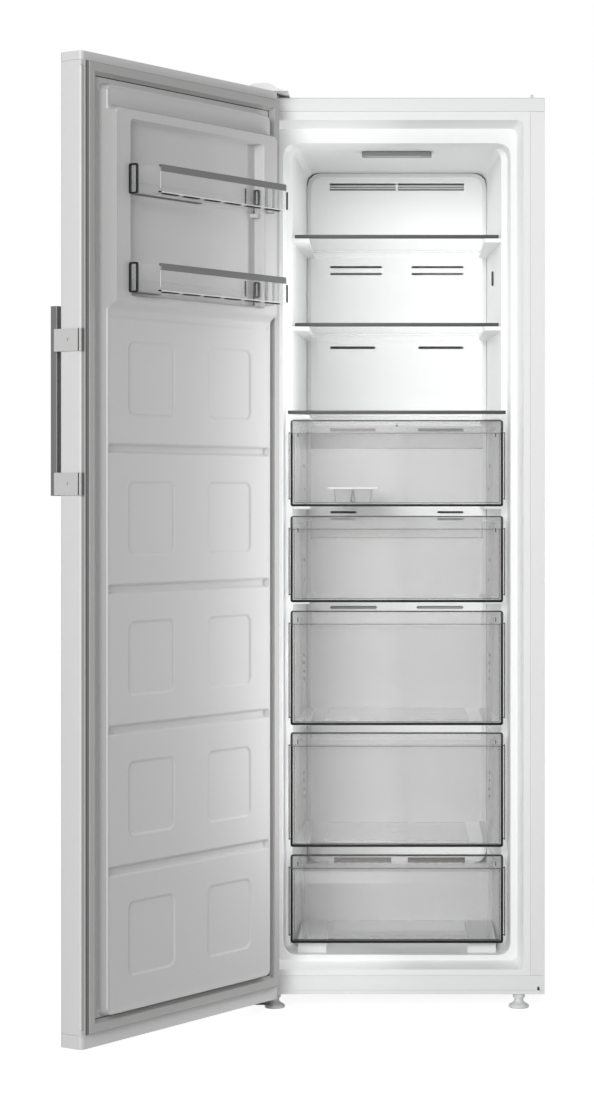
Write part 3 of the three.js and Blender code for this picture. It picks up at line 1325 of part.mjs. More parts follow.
// Clear bin: open at the top, low at the back, with clips over the frame of the door liner.
function rackBin({ bottom }) {
  const top = bottom + RACK_HEIGHT;
  const shoulder = above(DYKE_HEIGHT) + SEAT;
  const front = above(RACK_FRONT);
  const back = above(PLUG_HEIGHT) + 2 * SEAT;
  const plan = (inset, z) => {
    const corners = [
      new THREE.Vector2(-RACK_HALF + inset, shoulder + inset),
      new THREE.Vector2(RACK_HALF - inset, shoulder + inset),
      new THREE.Vector2(RACK_HALF - inset, front - inset),
      new THREE.Vector2(-RACK_HALF + inset, front - inset),
    ];
    return roundCorners(corners, RACK_FRONT_RADIUS - inset).map((p) => new THREE.Vector3(p.x, p.y, z));
  };
  const outer = loft([plan(4, bottom), plan(0, bottom + 7), plan(0, top)]);
  const inner = loft(
    [plan(4 + RACK_WALL, bottom + RACK_WALL), plan(RACK_WALL, bottom + 8), plan(RACK_WALL, top + 1)],
  );
  const rear = block(
    -RACK_BACK_HALF, RACK_BACK_HALF, back, shoulder + RACK_FRONT_RADIUS, bottom,
    bottom + RACK_BACK_HEIGHT,
  );
  const rearInside = block(
    -RACK_BACK_HALF + RACK_WALL, RACK_BACK_HALF - RACK_WALL, back + RACK_WALL, front - 2 * RACK_FRONT_RADIUS,
    bottom + RACK_WALL, top + OVERRUN,
  );
  const clips = pair(
    RACK_HALF - RACK_WALL, RACK_HALF + RACK_WALL, shoulder, shoulder + RACK_CLIP_DEPTH, bottom,
    top + RACK_CLIP_RISE,
  );
  const clipPockets = pair(
    RACK_HALF + RACK_WALL / 2, RACK_HALF + 2 * RACK_WALL, shoulder + 4, shoulder + RACK_CLIP_DEPTH - 4,
    bottom + 4, top,
  );
  const slotPitch = (2 * RACK_HALF - 40) / RACK_SLOTS;
  const slots = Array.from({ length: RACK_SLOTS }, (_, k) => {
    const x = slotPitch * (k - (RACK_SLOTS - 1) / 2);
    return block(
      x - slotPitch * 0.34, x + slotPitch * 0.34, front - 16, front - 12, bottom - 1,
      bottom + 2 * RACK_WALL,
    );
  });
  const slits = Array.from({ length: RACK_SLITS }, (_, k) => {
    const x = RACK_HALF - 34 - k * RACK_SLIT_PITCH;
    return block(x - 2, x + 2, shoulder - 4, shoulder + 26, bottom - 1, bottom + 2 * RACK_WALL);
  });
  const shell = cut(join(outer, rear), inner, rearInside);
  return cut(join(shell, clips), clipPockets, slots, slits);
}

// Dark band hooked over the top edge of the bin's front.
function rackBand({ bottom }) {
  const top = bottom + RACK_HEIGHT + SEAT;
  const front = above(RACK_FRONT) + SEAT;
  const half = RACK_HALF - RACK_FRONT_RADIUS;
  return prism(
    polygon([
      [front, top - RACK_BAND_HEIGHT],
      [front + RACK_BAND_THICKNESS, top - RACK_BAND_HEIGHT],
      [front + RACK_BAND_THICKNESS, top + RACK_BAND_THICKNESS],
      [front - 2 * SEAT - RACK_WALL - RACK_BAND_THICKNESS, top + RACK_BAND_THICKNESS],
      [front - 2 * SEAT - RACK_WALL - RACK_BAND_THICKNESS, top - 3],
      [front - 2 * SEAT - RACK_WALL, top - 3],
      [front - 2 * SEAT - RACK_WALL, top],
      [front, top],
    ]),
    "x", -half, half,
  );
}

// ---------------------------------------------------------------- handle

const HANDLE_IN = DOOR_OUTER_Y - HANDLE_STANDOFF;
const HANDLE_OUT = HANDLE_IN - HANDLE_THICKNESS;

// Bar with two arms that reach back to the edge of the door.
function handleBar() {
  const grip = prism(
    roundedRect(HANDLE_X - HANDLE_WIDTH, HANDLE_X, HANDLE_OUT, HANDLE_IN, 3),
    "z", HANDLE_BOTTOM, HANDLE_BOTTOM + HANDLE_LENGTH,
  );
  const arms = BRACKET_Z.map((z) => {
    const outline = polygon([
      [HANDLE_X - HANDLE_WIDTH + 3, HANDLE_IN - 2],
      [HANDLE_X - 1, HANDLE_IN - 2],
      [EDGE_X, BRACKET_Y_OUT - 4],
      [EDGE_X, DOOR_OUTER_Y - SEAT],
      [HANDLE_X - HANDLE_WIDTH + 3, DOOR_OUTER_Y - SEAT],
    ]);
    return prism(outline, "z", z + 1, z + BRACKET_HEIGHT - 1);
  });
  return join(grip, arms);
}

// Plate on the edge of the door, with a screw hole, a gap line and a lip round the inner corner.
function handleBracket(z) {
  const x0 = EDGE_X + SEAT;
  const x1 = x0 + BRACKET_PLATE;
  const lipY = DOOR_INNER_Y + SEAT;
  const plate = prism(roundedRect(BRACKET_Y_OUT, lipY, z, z + BRACKET_HEIGHT, 1.5), "x", x0, x1);
  const corner = block(x0, x1, BRACKET_Y_IN, lipY + BRACKET_LIP_THICKNESS, z, z + BRACKET_HEIGHT);
  const lip = block(EDGE_X - BRACKET_LIP, x1, lipY, lipY + BRACKET_LIP_THICKNESS, z, z + BRACKET_HEIGHT);
  const gapLine = block(
    x0 + BRACKET_PLATE / 3, x1 + 1, BRACKET_Y_IN, BRACKET_Y_IN + BRACKET_GAP, z - 1, z + BRACKET_HEIGHT + 1,
  );
  const middle = (BRACKET_Y_IN + BRACKET_Y_OUT) / 2 + 5;
  const hole = bar("x", BRACKET_HOLE, 16, x0 - 1, x1 + 1, middle, z + BRACKET_HEIGHT / 2);
  return cut(join(plate, corner, lip), gapLine, hole);
}

// ---------------------------------------------------------------- hinges

// Bottom hinge: plate under the door with its pin and an arm under the cabinet.
function bottomHinge() {
  const top = DOOR_BOTTOM - 8;
  const left = HINGE_X - 13.5;
  const armRight = left + 29;
  const underDoor = prism(
    roundedRect(left, left + 39, HINGE_Y - 14, HINGE_Y + 56, 4), "z", top - HINGE_PLATE, top,
  );
  const arm = block(left, armRight, 0, HINGE_ARM_END, top - HINGE_PLATE, top);
  const riser = block(left, armRight, TRIM_DEPTH + OVERRUN, HINGE_ARM_END, top - HINGE_PLATE, BASE_Z - SEAT);
  const washer = bar("z", PIN_RADIUS + 4, 16, top - 1, DOOR_BOTTOM - SEAT, HINGE_X, HINGE_Y);
  const pin = bar("z", PIN_RADIUS, 16, top - 1, DOOR_BOTTOM + PIN_LENGTH, HINGE_X, HINGE_Y);
  return join(underDoor, arm, riser, washer, pin);
}

const TOP_HINGE_Z = DOOR_TOP + 1;

// Top hinge: stepped plate screwed to the cabinet's top, with a pin down into the door.
function topHinge() {
  const left = HINGE_X - 11.5;
  const right = HINGE_X + HINGE_DECK_RIGHT;
  const deck = block(left, right, -OVERRUN, HINGE_DECK_BACK, TOP_HINGE_Z, TOP_HINGE_Z + HINGE_PLATE);
  const pad = block(left, right, TRIM_DEPTH + 4, HINGE_DECK_BACK, CABINET_TOP + SEAT, TOP_HINGE_Z + 1);
  const nose = prism(
    roundedRect(left, HINGE_X + 13, HINGE_Y - 11, 0, 8), "z", TOP_HINGE_Z, TOP_HINGE_Z + HINGE_PLATE,
  );
  const pin = bar("z", PIN_RADIUS, 16, DOOR_TOP - PIN_LENGTH, TOP_HINGE_Z + 1, HINGE_X, HINGE_Y);
  const heads = [left + 9, right - 10].map((x) =>
    bar("z", 4.5, 12, TOP_HINGE_Z + 1, TOP_HINGE_Z + HINGE_PLATE + 3, x, 50),
  );
  return join(deck, pad, nose, pin, heads);
}

// Plastic cap over the top hinge: low over the cabinet, highest near the hinge pin.
function hingeCover() {
  const z0 = TOP_HINGE_Z - 0.5;
  const left = HINGE_COVER_LEFT;
  const right = HINGE_COVER_RIGHT;
  const outline = (inset, base) => {
    const shape = new THREE.Shape();
    shape.moveTo(left + inset, base);
    shape.lineTo(right - inset, base);
    shape.lineTo(right - 22 - inset, z0 + 6 - inset);
    shape.quadraticCurveTo(right - 32, HINGE_COVER_TOP - inset, left + 34, HINGE_COVER_TOP - inset);
    shape.lineTo(left + 18, HINGE_COVER_TOP - inset);
    shape.quadraticCurveTo(left + inset, HINGE_COVER_TOP - inset, left + inset, z0 + 8);
    return shape;
  };
  const cover = prism(outline(0, z0), "y", HINGE_COVER_FRONT, HINGE_COVER_BACK);
  const inside = prism(
    outline(HINGE_COVER_WALL, z0 - 1), "y", HINGE_COVER_FRONT + HINGE_COVER_WALL,
    HINGE_COVER_BACK - HINGE_COVER_WALL,
  );
  const skirt = (grow) =>
    block(
      left + grow, right - 22 - grow, 2 - grow, HINGE_COVER_BACK - grow, CABINET_TOP + SEAT - grow,
      z0 + 1,
    );
  const skirtWall = cut(skirt(0), skirt(HINGE_COVER_WALL));
  const rib = cut(
    prism(outline(HINGE_COVER_WALL / 2, z0 + 5), "y", 20, 22),
    block(left, right, 10, 30, 0, TOP_HINGE_Z + HINGE_PLATE + SEAT),
  );
  return join(cut(cover, inside), skirtWall, rib);
}

// Plug in the spare hinge hole on the other side of the top.
function topPlug() {
  const z = CABINET_TOP + SEAT;
  return turned(
    [
      [0, z],
      [PLUG_PIN_RADIUS + 3, z],
      [PLUG_PIN_RADIUS + 3, z + 1.5],
      [PLUG_PIN_RADIUS, z + 3],
      [PLUG_PIN_RADIUS, z + PLUG_PIN_HEIGHT - 1],
      [PLUG_PIN_RADIUS - 1, z + PLUG_PIN_HEIGHT],
      [0, z + PLUG_PIN_HEIGHT],
    ],
    16, PLUG_X, 24, 0,
  );
}

// ---------------------------------------------------------------- feet

// Levelling foot: a broad sole, a flared neck and a grip ring.
function levellingFoot(x, y, radius, sides) {
  const top = BASE_Z - SEAT;
  return turned(
    [
      [0, 0],
      [radius - 1, 0],
      [radius, 1.5],
      [radius, 6],
      [FOOT_NECK, 13],
      [FOOT_NECK, 20],
      [FOOT_NECK + 3, 21],
      [FOOT_NECK + 3, top],
      [0, top],
    ],
    sides, x, y, 0,
  );
}

// ---------------------------------------------------------------- scene graph

const FINISHES = {
  whiteSteel: { color: 0xeceeee, roughness: 0.35, metalness: 0.1 },
  whitePlastic: { color: 0xf2f3f3, roughness: 0.5, metalness: 0 },
  liner: { color: 0xe6e8e8, roughness: 0.55, metalness: 0 },
  gasket: { color: 0xc9caca, roughness: 0.7, metalness: 0 },
  foam: { color: 0xe3d9a8, roughness: 0.95, metalness: 0 },
  zinc: { color: 0xaeb2b4, roughness: 0.45, metalness: 0.8 },
  copper: { color: 0xb87348, roughness: 0.4, metalness: 0.9 },
  aluminium: { color: 0xc8cbcd, roughness: 0.35, metalness: 0.9 },
  blackSteel: { color: 0x1d1e20, roughness: 0.5, metalness: 0.4 },
  darkPlastic: { color: 0x4a4c4e, roughness: 0.5, metalness: 0 },
  handleGrey: { color: 0x77787a, roughness: 0.4, metalness: 0.6 },
  bracketGrey: { color: 0xc2c3c4, roughness: 0.35, metalness: 0.5 },
  clear: { color: 0xdfe4e6, roughness: 0.1, metalness: 0 },
  smoke: { color: 0xb9bfc2, roughness: 0.15, metalness: 0 },
  glass: { color: 0xcfe0de, roughness: 0.05, metalness: 0 },
  foot: { color: 0xb9bbbc, roughness: 0.6, metalness: 0 },
};

function part(name, body, finish) {
  const mesh = new THREE.Mesh(geometryOf(body), new THREE.MeshStandardMaterial(FINISHES[finish]));
  mesh.name = name;
  return mesh;
}

function buildCabinet() {
  const cabinet = new THREE.Group();
  cabinet.add(
    part("outer_shell", outerShell(), "whiteSteel"),
    part("rear_panel", rearPanel(), "zinc"),
    part("base_plate", basePlate(), "zinc"),
    part("insulation_foam", insulation(), "foam"),
    part("inner_liner", innerLiner(), "liner"),
    part("top_trim", topTrim(), "whitePlastic"),
    part("bottom_trim", bottomTrim(), "whitePlastic"),
    part("condenser_coil", condenserCoil(), "copper"),
    part("back_panel", backPanel(), "liner"),
    part("evaporator", evaporator(), "aluminium"),
    part("evaporator_fan", evaporatorFan(), "darkPlastic"),
    part("fan_motor", fanMotor(), "blackSteel"),
    part("drain_tube", drainTube(), "darkPlastic"),
    part("compressor", compressor(), "blackSteel"),
    part("terminal_cover", terminalCover(), "darkPlastic"),
    part("drip_tray", dripTray(), "darkPlastic"),
    part("lamp_housing", lampHousing(), "whitePlastic"),
    part("lamp_lens", lampLens(), "clear"),
    part("top_hinge", topHinge(), "zinc"),
    part("hinge_cover", hingeCover(), "whitePlastic"),
    part("bottom_hinge", bottomHinge(), "blackSteel"),
    part("top_plug", topPlug(), "whitePlastic"),
    part("front_foot_left", levellingFoot(-FOOT_X, FRONT_FOOT_Y, FOOT_RADIUS, 16), "foot"),
    part("front_foot_right", levellingFoot(FOOT_X, FRONT_FOOT_Y, FOOT_RADIUS, 16), "foot"),
    part("rear_foot_left", levellingFoot(-FOOT_X, REAR_FOOT_Y, REAR_FOOT_RADIUS, 12), "foot"),
    part("rear_foot_right", levellingFoot(FOOT_X, REAR_FOOT_Y, REAR_FOOT_RADIUS, 12), "foot"),
  );
  const sensor = part("sensor_cover", sensorCover(), "darkPlastic");
  sensor.position.set(wallHalf(SENSOR_Y) - 2 * SEAT, SENSOR_Y, SENSOR_Z);
  sensor.rotation.z = Math.atan2(STEP_HALF - CAVITY_HALF_BACK, CAVITY_BACK - STEP_Y);
  cabinet.add(sensor);
  return cabinet;
}

function buildShelves() {
  const shelves = new THREE.Group();
  for (const shelf of SHELVES) {
    shelves.add(
      part(`${shelf.name}_glass`, shelfGlass(shelf), "glass"),
      part(`${shelf.name}_front_trim`, shelfFrontTrim(shelf), "darkPlastic"),
      part(`${shelf.name}_rear_trim`, shelfRearTrim(shelf), "darkPlastic"),
    );
  }
  return shelves;
}

function buildDrawers() {
  const drawers = new THREE.Group();
  for (const drawer of DRAWERS) {
    drawers.add(
      part(`${drawer.name}_front`, drawerFront(drawer), "smoke"),
      part(`${drawer.name}_tub`, drawerTub(drawer), "smoke"),
    );
  }
  drawers.add(part("ice_tray", iceTray(), "whitePlastic"));
  return drawers;
}

function buildDoor() {
  const closed = new THREE.Group();
  closed.position.set(-HINGE_X, -HINGE_Y, 0);
  closed.add(
    part("door_skin", doorSkin(), "whiteSteel"),
    part("door_top_cap", doorCap(TOP_CAP), "whitePlastic"),
    part("door_bottom_cap", doorCap(BOTTOM_CAP), "whitePlastic"),
    part("door_foam", doorFoam(), "foam"),
    part("door_liner", doorLiner(), "liner"),
    part("door_gasket", doorGasket(), "gasket"),
    part("handle_bar", handleBar(), "handleGrey"),
    part("handle_bracket_lower", handleBracket(BRACKET_Z[0]), "bracketGrey"),
    part("handle_bracket_upper", handleBracket(BRACKET_Z[1]), "bracketGrey"),
  );
  for (const rack of RACKS) {
    closed.add(
      part(`${rack.name}_bin`, rackBin(rack), "clear"),
      part(`${rack.name}_band`, rackBand(rack), "darkPlastic"),
    );
  }
  const door = new THREE.Group();
  door.add(closed);
  door.position.set(HINGE_X, HINGE_Y, 0);
  door.rotation.z = radians(-DOOR_OPEN_DEG);
  return door;
}

const freezer = new THREE.Group();
freezer.name = "upright_freezer";
freezer.add(buildCabinet(), buildShelves(), buildDrawers(), buildDoor());

const bounds = new THREE.Box3().setFromObject(freezer, true);
const middle = bounds.getCenter(new THREE.Vector3());
freezer.position.set(-middle.x, -middle.y, -bounds.min.z);

export default freezer;
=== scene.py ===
"""Looks of an upright freezer with its door open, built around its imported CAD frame.

All sizes are millimetres in the cabinet's own frame: X = 0 is the middle of the cabinet, Y = 0 its front
plane and Z = 0 the floor. The door and what it carries are drawn closed and then turned on the hinge.
"""

from __future__ import annotations

import json
import logging
import math
from dataclasses import dataclass, field
from enum import Enum
from typing import Callable, Iterable, Sequence

import bmesh
import bpy
from mathutils import Matrix, Vector

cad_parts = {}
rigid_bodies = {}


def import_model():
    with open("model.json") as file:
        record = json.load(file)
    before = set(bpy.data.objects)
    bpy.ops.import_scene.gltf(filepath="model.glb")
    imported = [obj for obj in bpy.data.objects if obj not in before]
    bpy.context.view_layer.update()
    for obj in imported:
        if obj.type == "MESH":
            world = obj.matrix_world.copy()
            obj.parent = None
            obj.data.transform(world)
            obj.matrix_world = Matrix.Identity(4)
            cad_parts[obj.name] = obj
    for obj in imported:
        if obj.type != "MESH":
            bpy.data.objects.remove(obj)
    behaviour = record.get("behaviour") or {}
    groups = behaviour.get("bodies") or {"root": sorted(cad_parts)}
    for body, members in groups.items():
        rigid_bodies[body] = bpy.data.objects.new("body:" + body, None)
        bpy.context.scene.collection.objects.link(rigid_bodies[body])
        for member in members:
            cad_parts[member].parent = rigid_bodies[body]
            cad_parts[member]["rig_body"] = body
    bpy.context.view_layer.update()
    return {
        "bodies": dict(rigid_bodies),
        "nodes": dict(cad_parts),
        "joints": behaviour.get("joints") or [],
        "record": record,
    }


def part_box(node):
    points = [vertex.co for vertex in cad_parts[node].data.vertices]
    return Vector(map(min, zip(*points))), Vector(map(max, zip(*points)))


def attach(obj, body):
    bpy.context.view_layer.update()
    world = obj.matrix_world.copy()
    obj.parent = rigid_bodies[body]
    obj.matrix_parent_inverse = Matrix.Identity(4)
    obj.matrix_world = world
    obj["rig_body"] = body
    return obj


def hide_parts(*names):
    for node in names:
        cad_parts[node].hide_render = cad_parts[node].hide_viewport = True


LOG = logging.getLogger("freezer")
MM = 0.001
SAME_POINT = 1e-6

HINGE = (-277.5, -48.0)  # place of the hinge's axis
DOOR_OPEN = 124.0  # degrees
DOOR_PLANE = -12.0  # depth of the closed door's inner plane
SIDES = (-1, 1)
TURN = [2 * math.pi * k / 24 for k in range(24)]
WAVES, CLOUDS, SMUDGES = 14.0, 5.0, 38.0  # patterns in a metre of surface
BUMP_STRENGTH = 0.35
SHARP_EDGE, SHARP_LINER_EDGE = math.radians(30.0), math.radians(60.0)
FLAT_ENOUGH = math.radians(0.4)
SQUARE_ON, STEEP = 0.9, 0.3  # cosines of a face's slope

Point = Sequence[float]
Ends = Sequence[float]  # where a stretch starts and where it ends
Sizes = tuple[float, ...]
Pairs = tuple[tuple[float, float], ...]
Ring = list[tuple[float, float, float]]
Pick = Callable[[bpy.types.MeshPolygon], int]


# --- placing


class Space(Enum):
    """The two spaces in which pieces are drawn."""

    CABINET = "cabinet"
    DOOR = "door"


class Placement:
    """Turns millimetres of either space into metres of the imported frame."""

    def __init__(self) -> None:
        """Finds the cabinet's front plane and middle from its casing."""
        low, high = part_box("outer_shell")
        middle = (low.x + high.x) / 2
        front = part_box("top_trim")[0].y
        self._cabinet = Matrix.Translation((middle, front, 0)) @ Matrix.Scale(MM, 4)
        turn = Matrix.Rotation(math.radians(-DOOR_OPEN), 4, "Z")
        to_hinge = Matrix.Translation((*HINGE, 0))
        self._door = self._cabinet @ to_hinge @ turn @ to_hinge.inverted()

    def matrix(self, space: Space) -> Matrix:
        """Gives the matrix from a space's millimetres to the frame's metres."""
        return self._cabinet if space is Space.CABINET else self._door

    def door_way(self, axis: Point) -> Vector:
        """Gives the direction in the frame of an axis of the door's space."""
        return self._door.to_3x3().normalized() @ Vector(axis)


# --- shader groups


class Graph:
    """Short calls for placing and joining the nodes of one tree."""

    def __init__(self, tree: bpy.types.NodeTree) -> None:
        """Keeps the tree."""
        self.tree = tree

    def feed(self, target: bpy.types.NodeSocket, value: object) -> None:
        """Links a socket to the target, or sets the target to a plain value.

        Args:
            target: the input that is fed.
            value: a socket, or a value of the input's own kind.
        """
        if isinstance(value, bpy.types.NodeSocket):
            self.tree.links.new(value, target)
        else:
            target.default_value = value

    def fill(self, node: bpy.types.Node, inputs: dict[str, object]) -> None:
        """Feeds inputs of a node by their names."""
        for label, value in inputs.items():
            self.feed(node.inputs[label], value)

    def node(self, kind: str, inputs: dict[str, object] | None = None, **settings: object) -> bpy.types.Node:
        """Adds a node.

        Args:
            kind: the node's type without its prefix.
            inputs: sockets or values for its inputs.
            **settings: attributes to set on it before that.

        Returns:
            The new node.
        """
        made = self.tree.nodes.new(kind if kind.startswith("Node") else f"ShaderNode{kind}")
        for label, value in settings.items():
            setattr(made, label, value)
        self.fill(made, inputs or {})
        return made

    def math(self, operation: str, first: object, second: object) -> bpy.types.NodeSocket:
        """Adds a math node.

        Args:
            operation: the node's operation.
            first: its first value, a socket or a number.
            second: its second value, a socket or a number.

        Returns:
            The result's socket.
        """
        made = self.node("Math", operation=operation)
        for socket, value in zip(made.inputs, (first, second)):
            self.feed(socket, value)
        return made.outputs[0]

    def noise(self, scale: object, detail: float, vector: bpy.types.NodeSocket) -> bpy.types.NodeSocket:
        """Adds a noise texture.

        Args:
            scale: its scale, a socket or a number.
            detail: its detail.
            vector: the coordinates it reads.

        Returns:
            The noise value's socket.
        """
        return self.node("TexNoise", {"Scale": scale, "Detail": detail, "Vector": vector}).outputs["Fac"]


def new_group(name: str, inputs: dict[str, float], outputs: Iterable[str]) -> bpy.types.NodeTree:
    """Makes an empty shader node group.

    Args:
        name: the group's name.
        inputs: names of its number inputs with their defaults.
        outputs: names of its number outputs.

    Returns:
        The group's node tree.
    """
    tree = bpy.data.node_groups.new(name, "ShaderNodeTree")
    for label, value in inputs.items():
        socket = tree.interface.new_socket(label, in_out="INPUT", socket_type="NodeSocketFloat")
        socket.default_value = value
    for label in outputs:
        tree.interface.new_socket(label, in_out="OUTPUT", socket_type="NodeSocketFloat")
    return tree


def surface_group() -> bpy.types.NodeTree:
    """Builds the group of fine surface variation that every finish uses.

    Returns:
        A tree with a grain height, a roughness and a tint that all change over the surface.
    """
    defaults = {
        "Grain Scale": 900.0,
        "Grain": 0.5,
        "Waviness": 0.3,
        "Roughness": 0.4,
        "Roughness Range": 0.06,
        "Tint Range": 0.02,
    }
    tree = new_group("surface_variation", defaults, ("Height", "Roughness", "Tint"))
    g = Graph(tree)
    given = g.node("NodeGroupInput").outputs
    place = g.node("TexCoord").outputs["Object"]
    grain = g.math("MULTIPLY", g.noise(given["Grain Scale"], 2.0, place), given["Grain"])
    wave = g.math("MULTIPLY", g.noise(WAVES, 1.0, place), given["Waviness"])
    cloud = g.math("SUBTRACT", g.noise(CLOUDS, 3.0, place), 0.5)
    smudge = g.math("SUBTRACT", g.noise(SMUDGES, 4.0, place), 0.5)
    spread = g.math("MULTIPLY", smudge, given["Roughness Range"])
    results = {
        "Height": g.math("ADD", grain, wave),
        "Roughness": g.math("ADD", given["Roughness"], spread),
        "Tint": g.math("ADD", 1.0, g.math("MULTIPLY", cloud, given["Tint Range"])),
    }
    g.node("NodeGroupOutput", results)
    return tree


# --- finishes


def new_material(name: str) -> tuple[bpy.types.Material, Graph, bpy.types.Node]:
    """Makes a material with its plain shader.

    Args:
        name: the material's name.

    Returns:
        The material, the graph of its nodes and its shader.
    """
    material = bpy.data.materials.new(name)
    material.use_nodes = True
    return material, Graph(material.node_tree), material.node_tree.nodes["Principled BSDF"]


@dataclass(frozen=True)
class Finish:
    """An opaque surface: its colour with the fine variation that such a surface has.

    Attributes:
        name: the material's name.
        color: its linear base colour.
        roughness: its middle roughness.
        grain_scale: grains in a metre, roughly.
        bump: depth of the bump in millimetres.
        tint_range: how far the brightness wanders.
        metallic: 1 for bare metal.
        coat: weight of a clear coat.
        grain: height of the grain as a share of the bump.
        waviness: height of slow waves, as in formed sheet.
        roughness_range: how far the roughness wanders.
        subsurface: weight of light that scatters inside.
        specular: strength of the plain reflection, 0.5 for common plastic.
    """

    name: str
    color: tuple[float, float, float]
    roughness: float
    grain_scale: float = 900.0
    bump: float = 0.05
    tint_range: float = 0.02
    metallic: float = 0.0
    coat: float = 0.0
    grain: float = 0.5
    waviness: float = 0.3
    roughness_range: float = 0.06
    subsurface: float = 0.0
    specular: float = 0.5

    def build(self) -> bpy.types.Material:
        """Builds the material.

        Returns:
            The Blender material.
        """
        material, g, shader = new_material(self.name)
        values = {
            "Grain Scale": self.grain_scale,
            "Grain": self.grain,
            "Waviness": self.waviness,
            "Roughness": self.roughness,
            "Roughness Range": self.roughness_range,
            "Tint Range": self.tint_range,
        }
        varied = g.node("Group", values, node_tree=bpy.data.node_groups["surface_variation"]).outputs
        grey = g.node("CombineColor")
        for channel in grey.inputs:
            g.feed(channel, varied["Tint"])
        mixed = {"Factor": 1.0, "A": (*self.color, 1.0), "B": grey.outputs[0]}
        tint = g.node("Mix", mixed, data_type="RGBA", blend_type="MULTIPLY")
        relief = {"Strength": BUMP_STRENGTH, "Distance": self.bump * MM, "Height": varied["Height"]}
        looks = {
            "Base Color": tint.outputs["Result"],
            "Roughness": varied["Roughness"],
            "Normal": g.node("Bump", relief).outputs["Normal"],
            "Metallic": self.metallic,
            "Coat Weight": self.coat,
            "Subsurface Weight": self.subsurface,
            "Specular IOR Level": self.specular,
        }
        g.fill(shader, looks)
        return material


@dataclass(frozen=True)
class ClearFinish:
    """A thin clear or smoked surface that lets most of the light straight through.

    Attributes:
        name: the material's name.
        color: colour of the share that doesn't pass.
        alpha: that share at each surface.
        roughness: its middle roughness.
        roughness_range: how far the roughness wanders.
    """

    name: str
    color: tuple[float, float, float]
    alpha: float
    roughness: float = 0.12
    roughness_range: float = 0.06

    def build(self) -> bpy.types.Material:
        """Builds the material.

        Returns:
            The Blender material.
        """
        material, g, shader = new_material(self.name)
        values = {"Roughness": self.roughness, "Roughness Range": self.roughness_range}
        varied = g.node("Group", values, node_tree=bpy.data.node_groups["surface_variation"]).outputs
        looks = {"Roughness": varied["Roughness"], "Base Color": (*self.color, 1.0), "Alpha": self.alpha}
        g.fill(shader, looks)
        return material


